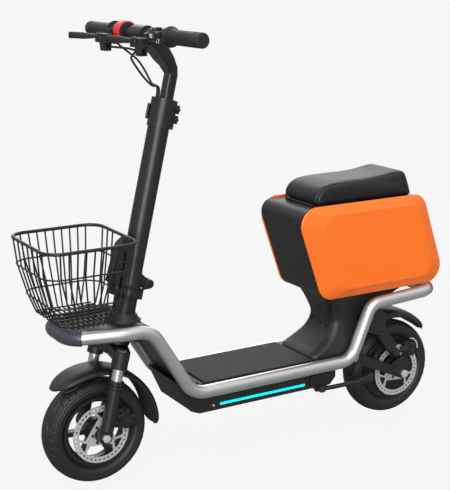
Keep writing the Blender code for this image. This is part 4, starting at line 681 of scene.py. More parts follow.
def pair(name, shapes, skin='black_metal', cuts=()):
    publish(name + '_left', shapes, skin, cuts=cuts)
    publish(name + '_right', [mirrored(s) for s in shapes], skin, cuts=[mirrored(c) for c in cuts])


def detail(name, shapes, skin, node, bevel=0.0003):
    piece(name, shapes, skin, node, bevel=bevel)


def all_placed(shapes, matrix):
    return [placed(shape, matrix) for shape in shapes]


def flip_z(shape):
    verts, faces = shape
    return ([Vector((v[0], v[1], -v[2])) for v in verts], faces)


def twice(shapes):
    return shapes + [flip_z(shape) for shape in shapes]


# Wheels and brake discs
def sector_window(inner, outer, middle, arm_width, arms, steps):
    def half_angle(radius):
        return pi / arms - asin(arm_width / 2 / radius)

    points = [polar(outer, middle + half_angle(outer) * (2 * i / steps - 1)) for i in range(steps + 1)]
    return points + [polar(inner, middle + half_angle(inner) * side) for side in (1, -1)]


def wheel_frame(axle):
    return Matrix.Translation(axle) @ ALONG_X


def tyre_section(count):
    points = [Vector((r, x)) for r, x in ((BEAD_R, BEAD_HALF), (BEAD_R + 0.0045, BEAD_HALF),
                                          (BEAD_R + 0.0125, 0.9 * TYRE_HALF), (BEAD_R + 0.0215, 0.995 * TYRE_HALF),
                                          (TYRE_R - 0.015, 0.975 * TYRE_HALF), (TYRE_R - 0.0085, 0.84 * TYRE_HALF),
                                          (TYRE_R - 0.004, 0.62 * TYRE_HALF), (TYRE_R - 0.0012, 0.32 * TYRE_HALF),
                                          (TYRE_R, 0.0))]
    half = smooth_path(points, 3)
    whole = half + [Vector((p.x, -p.y)) for p in half[-2::-1]]
    lengths = [0.0]
    for a, b in zip(whole, whole[1:]):
        lengths.append(lengths[-1] + (b - a).length)
    section = []
    k = 0
    for i in range(count + 1):
        s = lengths[-1] * i / count
        while k < len(whole) - 2 and lengths[k + 1] < s:
            k += 1
        f = (s - lengths[k]) / (lengths[k + 1] - lengths[k])
        section.append(whole[k].lerp(whole[k + 1], f))
    return (section, lengths[-1])


TREAD_SLOTS = 36
TREAD_WAVES = 12
TYRE_POINTS = 96
TYRE_TURNS = 720


def dip(distance, half, edge):
    return min(1.0, max(0.0, (half + edge - abs(distance)) / edge))


def tread_depth(across, turn):
    side = abs(across)
    depth = 0.0
    pitch = 2 * pi * TYRE_R / TREAD_SLOTS
    slot = (turn * TREAD_SLOTS) % 1.0 - 0.5
    if 0.0190 < side < 0.0340:
        lean = (side - 0.0190) * 0.35
        depth = max(depth, 0.0018 * dip(slot * pitch - lean, 0.0007, 0.0008) * dip(side - 0.0265, 0.0060, 0.001))
    for level in (0.0352, 0.0420):
        depth = max(depth, 0.0011 * dip(side - level, 0.0005, 0.0008))
    sweep = ((turn * TREAD_WAVES + (0.25 if across > 0 else 0.75)) % 1.0 - 0.5) / 0.44
    if abs(sweep) < 1.1:
        centre = 0.0045 + 0.0125 * (1 - sweep * sweep)
        depth = max(depth, 0.0022 * dip(side - centre, 0.0011, 0.0009) * dip(sweep, 0.92, 0.12))
    return depth


def build_tyre(name, axle):
    section, length = tyre_section(TYRE_POINTS)
    rings = []
    for k in range(TYRE_TURNS):
        ring = []
        for i, p in enumerate(section):
            ahead = heading(section, i)
            depth = tread_depth((i - TYRE_POINTS // 2) * length / TYRE_POINTS, k / TYRE_TURNS)
            spot = polar(p.x - abs(ahead.y) * depth, 2 * pi * k / TYRE_TURNS)
            ring.append((*spot, p.y - copysign(abs(ahead.x) * depth, p.y)))
        rings.append(ring)
    publish(name, [placed(loft(rings, ends=False), wheel_frame(axle))], 'tyre')


def disc_window(middle, half_angle, inner):
    half = radians(half_angle)
    rim = [polar(0.0558, middle - half + half * i / 8) for i in range(17)]
    turn = Matrix.Rotation(middle, 2)
    root = [turn @ Vector(p) for p in inner]
    radii = [0.0020] + [0] * 15 + [0.0020] + [0.0018] * len(root)
    return fillet(rim + root, radii, 1)


def build_disc(name, axle, disc_x):
    windows = []
    for i in range(DISC_ARMS // 2):
        middle = 2 * pi * i / 3 + radians(205)
        windows.append(disc_window(middle, 16, [(0.0390, 0)]))
        windows.append(disc_window(middle + pi / 3, 37, [(0.0270, 0.0302), (0.0270, -0.0302)]))
    for i in range(DISC_HOLES):
        angle = 2 * pi * (i + 0.5) / DISC_HOLES
        windows.append(circle(DISC_HOLE_R, 7, polar(DISC_HOLE_RING, angle), angle))
    windows.append(circle(DISC_BORE, 16))
    low = disc_x - DISC_THICK / 2
    high = low + DISC_THICK
    publish(name, [placed(plate(circle(DISC_R, WHEEL_SIDES), low, high, windows), wheel_frame(axle))], 'steel')
    heads = [placed(bolt(0.0036, 0.0022), at(*polar(DISC_BOLT_RING, 2 * pi * i / DISC_BOLTS), high))
             for i in range(DISC_BOLTS)]
    heads.append(placed(sleeve(0.0172, 0.0085, 0, 0.0034, 16), at(0, 0, high)))
    detail(name + '_bolts', all_placed(heads, wheel_frame(axle)), 'black_metal', name)


def build_front_rim():
    seat = BEAD_R - GAP
    barrel = lathe([(RIM_LIP, RIM_HALF), (RIM_LIP, BEAD_HALF + GAP), (seat, BEAD_HALF + GAP),
                    (seat, -BEAD_HALF - GAP), (RIM_LIP, -BEAD_HALF - GAP), (RIM_LIP, -RIM_HALF),
                    (seat - 0.004, -RIM_HALF), (seat - 0.004, RIM_HALF)], WHEEL_SIDES)
    windows = []
    for i in range(6):
        middle = 2 * pi * (i + 0.5) / 6
        windows.append(sector_window(0.0285, 0.069, middle, 0.012, 6, 20))
    windows.append(circle(0.012, 12))
    spider = plate(circle(seat - 0.0018, WHEEL_SIDES), -0.009, 0.009, windows)
    face = FRONT_DISC_X - DISC_THICK / 2 - GAP
    axle_bore = bore(FRONT_AXLE_R, RUNNING, 16)
    hub = lathe([(0.0195, -0.036), (0.0195, 0.031), (0.0262, 0.034), (0.0262, face), (axle_bore, face),
                 (axle_bore, -0.036)], ROUND_SIDES)
    publish('front_rim', all_placed([barrel, spider, hub], wheel_frame(FRONT_AXLE)))


def build_rear_hub():
    seat = BEAD_R - GAP
    face = REAR_DISC_X - DISC_THICK / 2 - GAP
    axle_bore = bore(REAR_AXLE_R, RUNNING, 16)
    profile = [(axle_bore, -0.0335), (0.02, -0.0335), (0.06, -0.027), (0.0645, -0.0205), (0.0785, -RIM_HALF),
               (RIM_LIP, -RIM_HALF), (RIM_LIP, -BEAD_HALF - GAP), (seat, -BEAD_HALF - GAP), (seat, BEAD_HALF + GAP),
               (RIM_LIP, BEAD_HALF + GAP), (RIM_LIP, RIM_HALF), (0.0785, RIM_HALF), (0.0645, 0.0205), (0.06, 0.027),
               (0.0265, 0.032), (0.0265, face), (axle_bore, face)]
    publish('rear_hub', [placed(lathe(profile, WHEEL_SIDES), wheel_frame(REAR_AXLE))])


def axle_pin(radius, left_stop, right_stop, right_inner, left_inner, nut_seat):
    collar = radius + 0.0035
    end = nut_seat + 0.0085
    profile = [(0, -end), (radius, -end), (radius, right_stop), (collar, right_stop), (collar, right_inner),
               (radius, right_inner), (radius, left_inner), (collar, left_inner), (collar, left_stop),
               (radius, left_stop), (radius, end), (0, end)]
    pin = lathe(profile, 12, closed=False)
    nut = plate(circle(radius + 0.0042, 6), nut_seat + GAP, nut_seat + 0.0068)
    return [pin, nut, flip_z(nut)]


# Fork and steering column
def build_fork_crown():
    leg_bore = bore(STANCHION_R, GAP, 12)
    outline = arc(SOCKET_R, -115, 80, 7, (LEG_X, -FORK_OFFSET))
    outline += arc(0.025, 45, 135, 4)
    outline += arc(SOCKET_R, 100, 295, 7, (-LEG_X, -FORK_OFFSET))
    outline += arc(0.025, 240, 300, 2, (0, -0.008))
    bridge = plate(outline, CROWN_LOW, CROWN_HIGH)
    socket = placed(rod(SOCKET_R - 0.0006, 0.167, CROWN_LOW + 0.004, ROUND_SIDES), at(LEG_X, -FORK_OFFSET, 0))
    steerer = rod(STEERER_R, CROWN_LOW + 0.004, FOLD_T - 0.0075, ROUND_SIDES)
    pinch = turned(bolt(0.0038, 0.0045), LEG_X + SOCKET_R - 0.0015, -FORK_OFFSET, 0.177)
    shapes = [bridge, *both(socket), steerer, *both(pinch)]
    cuts = [rod(STEERER_R - 0.003, CROWN_LOW - 0.01, FOLD_T - 0.012, 16)]
    leg = placed(rod(leg_bore, 0.15, CROWN_HIGH + 0.01, 12), at(LEG_X, -FORK_OFFSET, 0))
    cuts += both(leg)
    publish('fork_crown', all_placed(shapes, STEER), cuts=all_placed(cuts, STEER))


def build_stanchions():
    inner = STANCHION_R - 0.002
    leg = lathe([(STANCHION_R, 0.05), (STANCHION_R, CROWN_HIGH), (inner, CROWN_HIGH + 0.002),
                 (0, CROWN_HIGH + 0.002), (0, CROWN_HIGH - 0.004), (inner, CROWN_HIGH - 0.004), (inner, 0.05)], 12)
    pair('stanchion', [placed(leg, LEG)], 'silver')


def build_column():
    top = FOLD_T - GAP
    steerer_bore = bore(STEERER_R, GAP, ROUND_SIDES)
    tube = lathe([(COLUMN_R, COLUMN_LOW), (COLUMN_R, top), (0, top), (0, top - 0.006), (steerer_bore, top - 0.006),
                  (steerer_bore, COLUMN_LOW)], ROUND_SIDES)
    ear = [(0.0185, 0.3445), (COLUMN_R + 0.004, 0.3445)]
    ear += arc(0.011, -80, 140, 8, (FOLD_PIN_BACK, FOLD_PIN_T))
    ear += [(COLUMN_R + 0.0014, FOLD_T + 0.001), (COLUMN_R + 0.0014, top - 0.001), (0.0185, top - 0.001)]
    ear = plate(ear, 0.0125, 0.0205)
    pad = plate(box(0.0185, 0.32, COLUMN_R + 0.0078, 0.344), -0.014, 0.014)
    pin = placed(rod(SHOCK_PIN_R, -0.02, 0.02), at(FOLD_PIN_BACK, FOLD_PIN_T, 0))
    head = placed(sleeve(0.0082, 0.0048, 0.02, 0.0228, 16), at(FOLD_PIN_BACK, FOLD_PIN_T, 0))
    catch = plate([(-0.0385, 0.327), (-0.0385, 0.337), (-0.03, 0.342), (-0.0215, 0.342), (-0.0215, 0.3225),
                   (-0.03, 0.3225)], -0.01, 0.01)
    side = [ear, flip_z(ear), pad, pin, head, flip_z(head), catch]
    shapes = [placed(tube, STEER)] + all_placed(side, STEER_SIDE)
    skirt = lathe([(COLUMN_R - 0.001, 0.3195), (COLUMN_R + 0.0016, 0.3205), (COLUMN_R + 0.0022, 0.3235),
                   (COLUMN_R + 0.0022, 0.342), (COLUMN_R + 0.0012, 0.344), (COLUMN_R - 0.001, 0.344)], ROUND_SIDES)
    shapes.append(placed(skirt, STEER))
    boss = placed(lathe([(0, 0), (0.0075, 0), (0.0072, 0.003), (0.0062, 0.0042), (0.0048, 0.0042), (0.0044, 0.0026),
                         (0, 0.0026)], 12, closed=False), STEER @ at(COLUMN_R + 0.0008, 0.001, 0.3335) @ ALONG_X)
    shapes.append(boss)
    shapes.append(placed(bolt(0.0034, 0.003), STEER @ at(COLUMN_R - 0.0004, 0.004, 0.31) @ ALONG_X))
    publish('steering_column', shapes)


# Front suspension
def caliper_tab(grow):
    return [(-0.012, 0.02 - grow), (0.015 + grow, 0.0215 - grow), (0.019 + grow, 0.064 + grow),
            (-0.012, 0.074 + grow)]


def build_sliders():
    tube_bore = bore(STANCHION_R, GAP + RUNNING, 12)
    tube = lathe([(SLIDER_R, 0.0187), (SLIDER_R, 0.1185), (SLIDER_R + 0.0022, 0.1205),
                  (SLIDER_R + 0.0022, 0.1255), (SLIDER_R, 0.1265), (tube_bore, 0.1265),
                  (tube_bore, 0.024), (0, 0.024), (0, 0.0187)], 12)
    tube = placed(tube, LEG)
    hole = circle(bore(FRONT_AXLE_R, GAP, 12), 12, (-FORK_OFFSET, 0))
    lug = [(-FORK_OFFSET + 0.0135, 0.0225), (-FORK_OFFSET - 0.0135, 0.0225)]
    lug += arc(0.0165, 170, 370, 9, (-FORK_OFFSET, 0))
    lug = placed(plate(lug, 0.0535, 0.0695, [hole]), STEER_SIDE)
    tab = placed(plate(caliper_tab(0), TAB_IN, TAB_OUT), STEER_SIDE)
    publish('fork_slider_left', [tube, lug, tab])
    publish('fork_slider_right', [mirrored(tube), mirrored(lug)])
    seal = lathe([(tube_bore, 0.1268), (0.0162, 0.1268), (0.0162, 0.1288), (0.0186, 0.1292), (0.0186, 0.1312),
                  (0.0164, 0.1318), (0.0164, 0.1350), (0.0182, 0.1354), (0.0182, 0.1372), (0.0158, 0.1380),
                  (tube_bore, 0.1380)], 16)
    seal = placed(seal, LEG)
    detail('slider_seal_left', [seal], 'black_plastic', 'fork_slider_left')
    detail('slider_seal_right', [mirrored(seal)], 'black_plastic', 'fork_slider_right')


def build_front_axle():
    shapes = axle_pin(FRONT_AXLE_R, 0.0532, -0.0532, -0.0365, FRONT_DISC_X + 0.0014, 0.0695)
    publish('front_axle', all_placed(shapes, wheel_frame(FRONT_AXLE)), 'steel')


def guard_shape(centre, first, last, half, steps, narrow_first, narrow_last, deepen=0.0):
    rings = []
    steps *= FINER
    for i in range(steps + 1):
        f = (1 - cos(pi * i / steps)) / 2
        angle = radians(first + (last - first) * f)
        width = half
        drop = 0.0
        if f < 0.2 and narrow_first < 1:
            width *= narrow_first + (1 - narrow_first) * sin(f / 0.2 * pi / 2)
            drop = 0.001 * (1 - f / 0.2) ** 2
        if f > 0.8 and narrow_last < 1:
            width *= narrow_last + (1 - narrow_last) * sin((1 - f) / 0.2 * pi / 2)
        for end in (f, 1 - f):
            if end < 0.09 and narrow_first == 1:
                width *= 0.1 + 0.9 * sqrt(1 - (1 - end / 0.09) ** 2)
        section = []
        for k in range(49):
            turn = pi * k / 48
            reach = -copysign(abs(cos(turn)) ** GUARD_ROUNDING, cos(turn))
            section.append((reach, 0.0006 + GUARD_SAG * (1 - abs(sin(turn)) ** GUARD_ROUNDING)))
        inset = GUARD_THICK / half
        depth = width / half * (1 + deepen * f)
        outer = [(x * width, GUARD_R - drop - fall * depth) for x, fall in section]
        inner = [(x * width * (1 - inset), GUARD_R - drop - GUARD_THICK - fall * depth * 0.9)
                 for x, fall in section[::-1]]
        inner[0] = (width * (1 - inset), outer[-1][1])
        inner[-1] = (-width * (1 - inset), outer[-1][1])
        rings.append([(x, centre[0] + r * cos(angle), centre[1] + r * sin(angle)) for x, r in outer + inner])
    return loft(rings)


def build_front_guard():
    guard = guard_shape((-AXLE_Y, TYRE_R), -6, 132, 0.0445, 16, 1.0, 0.6)
    low = box(-FORK_OFFSET - 0.011, 0.104, -FORK_OFFSET + 0.011, 0.137)
    high = box(-FORK_OFFSET - 0.009, 0.11, -FORK_OFFSET + 0.009, 0.149)
    foot = placed(plate(low, 0.0442, 0.048), STEER_SIDE)
    rise = placed(plate(high, 0.0431, 0.0455), STEER_SIDE)
    publish('front_mudguard', [guard, *both(foot, rise)], 'black_plastic')


def caliper_frame(axle, angle):
    radial = Vector((0, cos(angle), sin(angle)))
    along = Vector((0, -sin(angle), cos(angle)))
    turn = Matrix(((1, 0, 0), (0, radial.y, along.y), (0, radial.z, along.z))).to_4x4()
    return Matrix.Translation(axle) @ turn


def build_caliper(prefix, axle, angle, disc_x, cuts=()):
    frame = caliper_frame(axle, angle)
    near = disc_x - DISC_THICK / 2 - 0.0008
    far = disc_x + DISC_THICK / 2 + 0.0008
    outer = far + 0.0185
    inner = min(near - 0.0075, 0.0342)
    body = [(inner, 0.05), (near, 0.05), (near, DISC_R + 0.0012), (far, DISC_R + 0.0012), (far, 0.05),
            (outer - 0.004, 0.05), (outer, 0.054), (outer, 0.08), (outer - 0.005, 0.084), (0.0372, 0.084),
            (inner, 0.0775)]
    body = plate(body, -0.019, 0.019)
    seat = at(0, PAD_R, 0)
    boss = placed(turned(rod(0.0145, outer - 0.001, outer + 0.0035, 16)), seat)
    stop = placed(rod(0.0035, -0.03, -0.018, 8), at(outer - 0.0048, 0.0775, 0))
    shapes = all_placed([body, boss, stop], frame)
    publish(prefix + '_caliper', shapes, cuts=cuts)
    fittings = [placed(turned(lathe([(0.0146, outer - 0.01), (0.0172, outer - 0.008), (0.0172, outer - 0.001),
                                     (0.0158, outer + 0.0005), (0.0146, outer + 0.0005)], 16)), seat)]
    for y, z in ((0.08, -0.014), (0.08, 0.014), (0.056, -0.015), (0.056, 0.015)):
        fittings.append(turned(lathe([(0, outer - 0.006), (0.0056, outer - 0.006), (0.0056, outer - 0.002),
                                      (0.004, outer - 0.001), (0.004, outer + 0.002), (0.0022, outer + 0.002),
                                      (0.002, outer), (0, outer)], 12, closed=False), 0, y, z))
    for k in range(5):
        fittings.append(placed(sleeve(0.0052, 0.003, -0.03 + 0.0024 * k, -0.0288 + 0.0024 * k, 12),
                               at(outer - 0.0048, 0.0775, 0)))
    fittings.append(placed(rod(0.003, 0.018, 0.027, 10), at(outer - 0.01, 0.074, 0)))
    detail(prefix + '_caliper_fittings', all_placed(fittings, frame), 'black_plastic', prefix + '_caliper', 0.0004)
    hub = rod(0.0105, outer + 0.004, outer + 0.0084, 12)
    lever = [(0.0075, -0.0045), (0.0225, -0.0026), (0.0245, 0.0), (0.0225, 0.0026), (0.0075, 0.0045)]
    lever = plate(lever, outer + 0.0046, outer + 0.0076)
    cap = placed(bolt(0.0045, 0.003), at(0, 0, outer + 0.008))
    arm = [placed(turned(shape), seat) for shape in (hub, lever, cap)]
    publish(prefix + '_brake_arm', all_placed(arm, frame))


# Frame
def half_path():
    points = [(0, NOSE_Y, NOSE_Z), (0.062, NOSE_Y, NOSE_Z), (TUBE_X - 0.0015, -0.385, NOSE_Z),
              (TUBE_X, -0.3232, NOSE_Z), (TUBE_X, -0.2143, DECK_TUBE_Z), (TUBE_X, 0.2456, DECK_TUBE_Z),
              (TUBE_X, 0.306, 0.342), (TUBE_X + 0.0035, TAIL_Y, TAIL_Z), (0, TAIL_Y, TAIL_Z)]
    radii = [0, 0.05, 0.12, 0.06, 0.06, 0.048, 0.04, 0.036, 0]
    return fillet(points, radii, 3, closed=False)


def build_frame_loop():
    left = half_path()
    loop = left + mirror_path(left[-2:0:-1])
    publish('frame_loop', [wire(loop, TUBE_R, TUBE_SIDES, closed=True)], 'silver')


def build_nose_cap():
    left = half_path()
    path = left[sum(1 for p in left if p.y < -0.4775):0:-1]
    path = path + mirror_path(path[::-1])
    publish('nose_cap', [pipe(path, TUBE_R + 0.0024, bore(TUBE_R, GAP, TUBE_SIDES), TUBE_SIDES + 4)], 'smoke')


def build_tail_light():
    left = half_path()
    path = left[-sum(1 for p in left if p.y > TAIL_Y - 0.012 and p.x < 0.086) - 1:-1]
    path = path + mirror_path(path[::-1])
    inner = bore(TUBE_R, GAP, 24)
    publish('tail_light', [shell_along(path, inner + 0.003, inner, 20, 160, 8)], 'red_lens')


def window(x, y, half_x, half_y):
    return box(x - half_x, y - half_y, x + half_x, y + half_y)


def build_head_tube():
    flare = HEAD_R + 0.0015
    low = CROWN_HIGH + 0.0025
    high = COLUMN_LOW - GAP
    tube = lathe([(flare, low), (flare, low + 0.009), (HEAD_R, low + 0.011), (HEAD_R, high - 0.011),
                  (flare, high - 0.009), (flare, high), (0.0185, high), (0.0185, low)], ROUND_SIDES)
    outline = [(0.0775, -0.03), (0.0775, 0.022), (0.045, 0.026)]
    outline += arc(0.036, 40, 140, 4)
    outline += [(-0.045, 0.026), (-0.0775, 0.022), (-0.0775, -0.03), (-0.045, -0.03)]
    outline += arc(0.036, 220, 320, 4)
    outline += [(0.045, -0.03)]
    windows = [circle(0.0215, 12), window(0.058, -0.002, 0.009, 0.013), window(-0.058, -0.002, 0.009, 0.013)]
    publish('head_tube', all_placed([tube, plate(outline, 0.234, 0.255, windows)], STEER))


def tube_inner_edge():
    path = [p for p in half_path() if p.y < -0.335]
    edge = []
    for i, here in enumerate(path):
        before = path[i - 1] if i else Vector((-path[1].x, path[1].y, path[1].z))
        ahead = (path[min(i + 1, len(path) - 1)] - before).normalized()
        reach = TUBE_R + (0.0034 if here.y < -0.47 else 0.001)
        edge.append((here.x - ahead.y * reach, here.y + ahead.x * reach))
    return edge


def build_front_cover():
    low = 0.38
    high = 0.3832
    middle = (low + high) / 2
    side = [p for p in tube_inner_edge() if p[1] < -0.325] + [(0.0775, -0.32)]
    outline = side + [(-x, y) for x, y in side[:0:-1]]
    opening_r = HEAD_R + 0.0045
    centre = (0, AXIS_FOOT_Y + (middle - AXIS_FOOT_Z) * tan(RAKE))
    top = plate(outline, low, high, [circle(opening_r + 0.003, ROUND_SIDES, centre)])
    rings = [[(x, y, middle) for x, y in circle(0.044, ROUND_SIDES, centre)],
             steer_ring(circle(0.0345, ROUND_SIDES), 0.28),
             steer_ring(circle(0.0315, ROUND_SIDES), 0.2865),
             steer_ring(circle(0.0285, ROUND_SIDES), 0.2865),
             [(x, y, middle) for x, y in circle(opening_r, ROUND_SIDES, centre)]]
    hump = loft(rings, ends=False)
    slope = [(-0.322, 0.3817)] + [(p.y, p.z) for p in half_path() if -0.313 < p.y < -0.215] + [(-0.191, 0.2225)]
    panel = turned(plate(ribbon(slope, 0.003), -0.0771, 0.0771))
    path = [p for p in half_path() if -0.479 < p.y < -0.325]
    saddle = shell_along(path, TUBE_R + 0.001, TUBE_R + 0.0002, -84, 4, 4)
    publish('front_cover', [top, hump, panel, *both(saddle)], 'black_plastic')


def build_deck():
    publish('deck_plate', [plate(rounded_box(DECK_HALF, -0.188, 0.245, 0.006), DECK_LOW, DECK_TOP)])
    publish('deck_mat', [plate(rounded_box(MAT_HALF, -0.176, 0.1325, 0.01), DECK_TOP + GAP, MAT_TOP)], 'mat')


def build_battery_case():
    side = [(-0.248, 0.229), (-0.212, 0.15), (-0.186, CASE_BOTTOM), (0.196, CASE_BOTTOM), (0.213, 0.158),
            (0.213, 0.2085), (-0.205, 0.2085), (-0.228, 0.229)]
    side = fillet(side, [0, 0.012, 0.012, 0.01, 0, 0, 0, 0], 1)
    cheek = turned(plate(side, CASE_HALF - CASE_WALL, CASE_HALF))
    floor = CASE_BOTTOM + 0.0018
    line = [(-0.2445, 0.2255), (-0.2095, 0.1508), (-0.185, floor), (0.195, floor), (0.211, 0.1588), (0.211, 0.207)]
    line = fillet(line, 0.009, 1, closed=False)
    wall = CASE_HALF - 0.0012
    tray = turned(plate(ribbon(line, 0.003), -wall, wall))
    port = turned(bolt(0.005, 0.0024), CASE_HALF - 0.001, -0.149, STRIP_Z)
    shapes = [tray, *both(cheek), port] + stand_bracket()
    publish('battery_case', shapes, 'black_plastic')


def build_light_strips():
    outline = box(-0.13, STRIP_Z - STRIP_HEIGHT / 2, 0.117, STRIP_Z + STRIP_HEIGHT / 2)
    pair('light_strip', [turned(plate(outline, CASE_HALF + GAP, CASE_HALF + 0.0018))], 'cyan')


RECESS_LOW = 0.262
RECESS_RISE = 0.1
TOWER_WALL = 0.0035
TOWER_LEVELS = ((DECK_TOP + GAP, 0.0765, 0.137, 0.292), (0.224, 0.0765, 0.142, 0.296), (0.24, 0.0735, 0.17, 0.302),
                (0.265, 0.066, 0.201, 0.306), (0.3, 0.06, 0.2145, 0.312), (0.335, 0.067, 0.205, 0.372),
                (BOX_BOTTOM - GAP, 0.078, 0.188, 0.44))


def build_seat_tower():
    outer = []
    inner = []
    for z, half, y0, y1 in smooth_path(TOWER_LEVELS, 2):
        outer.append([(x, y, z) for x, y in rounded_box(half, y0, y1, 0.024, 2)])
        hollow = rounded_box(half - TOWER_WALL, y0 + TOWER_WALL, y1 - TOWER_WALL, 0.0205, 2)
        inner.append([(x, y, z) for x, y in hollow])
    shapes = [loft(outer + inner[::-1], ends=False)]
    recess = []
    for z in [RECESS_LOW + RECESS_RISE * k / 10 for k in range(11)]:
        half = blend(TOWER_LEVELS, z)[0] - 0.0016
        f = (z - RECESS_LOW) / RECESS_RISE
        front = 0.251 - 0.021 * f
        rear = 0.264 + 0.023 * f
        recess.append([(half, front, z), (half, rear, z), (0.1, rear, z), (0.1, front, z)])
    recess = loft(recess)
    for x, z in ((0, 0.328), (0, 0.286), (0.036, 0.289), (-0.036, 0.289)):
        face = blend(TOWER_LEVELS, z)[1]
        shapes.append(placed(bolt(0.0048, 0.0045), toward((x, face + 0.0016, z), (0, -1, 0))))
    publish('seat_tower', shapes, 'black_plastic', cuts=both(recess))


# Seat box, lid and cushion
def front_edge(z):
    return BOX_FRONT[0] + BOX_SHEAR * (BOX_FRONT[1] - z)


def rear_edge(z):
    return BOX_REAR[0] + BOX_SHEAR * (BOX_REAR[1] - z)


def box_outline(top, bottom, inset, radii, steps, rear_inset=None):
    rear = inset if rear_inset is None else rear_inset
    corners = [(front_edge(top) + inset, top), (front_edge(bottom) + inset, bottom),
               (rear_edge(bottom) - rear, bottom), (rear_edge(top) - rear, top)]
    return fillet(corners, radii, steps)


def build_storage_box():
    wall = BOX_WALL
    outer = box_outline(BOX_TOP, BOX_BOTTOM, 0.003, [0.03, 0.042, 0.042, 0.03], 3)
    inner = box_outline(BOX_TOP - wall, BOX_BOTTOM + wall, 0.003 + wall, [0.027, 0.039, 0.039, 0.027], 3)
    shell = turned(plate(outer, -BOX_HALF, BOX_HALF))
    hollow = turned(plate(inner, -BOX_HALF + wall, BOX_HALF - wall))
    mouth = plate(rounded_box(LID_OPENING_HALF, LID_OPENING_FRONT, LID_OPENING_REAR, 0.01), BOX_TOP - 0.015,
                  BOX_TOP + 0.01)
    shapes = [shell]
    for x in (0.052, -0.058):
        lug = [(LID_HINGE_Y - 0.003, BOX_TOP - 0.001), (LID_HINGE_Y + 0.003, BOX_TOP - 0.001)]
        lug += arc(0.003, 0, 180, 5, (LID_HINGE_Y, LID_HINGE_Z))
        hole = circle(bore(0.0011, GAP, 8), 8, (LID_HINGE_Y, LID_HINGE_Z))
        shapes.append(turned(plate(lug, x, x + 0.006, [hole])))
    publish('storage_box', shapes, 'black_plastic', cuts=[hollow, mouth])


def build_side_panels():
    rim = box_outline(PANEL_TOP, BOX_BOTTOM, 0.0, PANEL_RADIUS, 8)
    edge = box_outline(PANEL_TOP - 0.0020, BOX_BOTTOM + 0.0020, 0.0020, PANEL_RADIUS, 8)
    face = box_outline(PANEL_TOP - 0.022, BOX_BOTTOM + 0.026, 0.058, 0.034, 8, 0.040)
    rings = [[(x, y, z) for y, z in outline]
             for x, outline in ((BOX_HALF + GAP, rim), (BOX_HALF + 0.0020, rim), (BOX_HALF + 0.0040, edge),
                                (PANEL_FACE_X + 0.002, face))]
    pair('side_panel', [loft(rings)], 'orange')


def build_seat_lid():
    origin = (0, LID_HINGE_Y, LID_HINGE_Z)
    low = BOX_TOP + GAP
    flange = plate(rounded_box(0.0745, 0.1515, 0.444, 0.02), low, CUSHION_LOW - GAP)
    half = LID_OPENING_HALF
    front = LID_OPENING_FRONT
    rear = LID_OPENING_REAR
    lip_out = rounded_box(half - 0.0025, front + 0.004, rear - 0.004, 0.008)
    lip_in = rounded_box(half - 0.005, front + 0.0065, rear - 0.0065, 0.0055)
    lip = plate(lip_out, BOX_TOP - 0.008, low + 0.001, [lip_in])
    barrel = turned(rod(0.0026, -0.0515, 0.0515, 10), *origin)
    leaf = plate(box(-0.05, LID_HINGE_Y, 0.05, 0.156), low + 0.0008, low + 0.0019)
    pin = turned(rod(0.0011, 0.0505, 0.0575, 8), *origin)
    publish('seat_lid', [flange, lip, leaf, barrel, *both(pin)], 'black_plastic')


SEAT_LINE = ((0.1462, 0.6098), (0.1448, 0.618), (0.1452, 0.6275), (0.15, 0.639), (0.16, 0.6495), (0.1771, 0.6575),
             (0.205, 0.6612), (0.2625, 0.6622), (0.3142, 0.6626), (0.3544, 0.6648), (0.387, 0.6692), (0.408, 0.6732),
             (0.419, 0.6735), (0.4262, 0.669), (0.438, 0.64), (0.4465, 0.6098))
SEAT_EDGE = 0.0115
SEAM_X = 0.0685
SEAM_WIDTH = 0.0026
SEAM_DEPTH = 0.0026
SWELL_FRAMES = 20


def seat_line():
    line = smooth_path(SEAT_LINE, 1)
    return line, [left_normal(line, i) for i in range(len(line))]


# The seat's side line as a block with rounded long edges; the simulation then fills it out.
def seat_block(shrink):
    line, normals = seat_line()
    half = CUSHION_HALF - 0.0005 - shrink
    stations = [(half - SEAT_EDGE * (1 - sin(a)), SEAT_EDGE * (1 - cos(a)))
                for a in [pi / 2 * k / 8 for k in range(9)]]
    columns = [(-x, inset) for x, inset in stations[::-1]] + stations
    rings = []
    for x, inset in columns:
        ring = []
        for p, n in zip(line, normals):
            q = p - n * (inset + shrink)
            rise = max(0.0, (q.y - CUSHION_LOW) / 0.06)
            ring.append((x * (1 - 0.035 * rise), q.x, max(q.y, CUSHION_LOW + 0.0004)))
        rings.append(ring)
    return loft(rings)


def swell(thing, most):
    start = [v.co.copy() for v in thing.data.vertices]
    cloth = thing.modifiers.new('foam', 'CLOTH')
    cloth.settings.effector_weights.gravity = 0.0
    cloth.settings.use_pressure = True
    cloth.settings.uniform_pressure_force = 1.6
    cloth.settings.tension_stiffness = 40.0
    cloth.settings.compression_stiffness = 40.0
    cloth.settings.bending_stiffness = 8.0
    cloth.settings.quality = 6
    cloth.point_cache.frame_start = 1
    cloth.point_cache.frame_end = SWELL_FRAMES
    for moment in range(1, SWELL_FRAMES + 1):
        bpy.context.scene.frame_set(moment)
    apply_modifiers(thing)
    for v, here in zip(thing.data.vertices, start):
        move = v.co - here
        if move.length > most:
            v.co = here + move * (most / move.length)
    bpy.context.scene.frame_set(1)


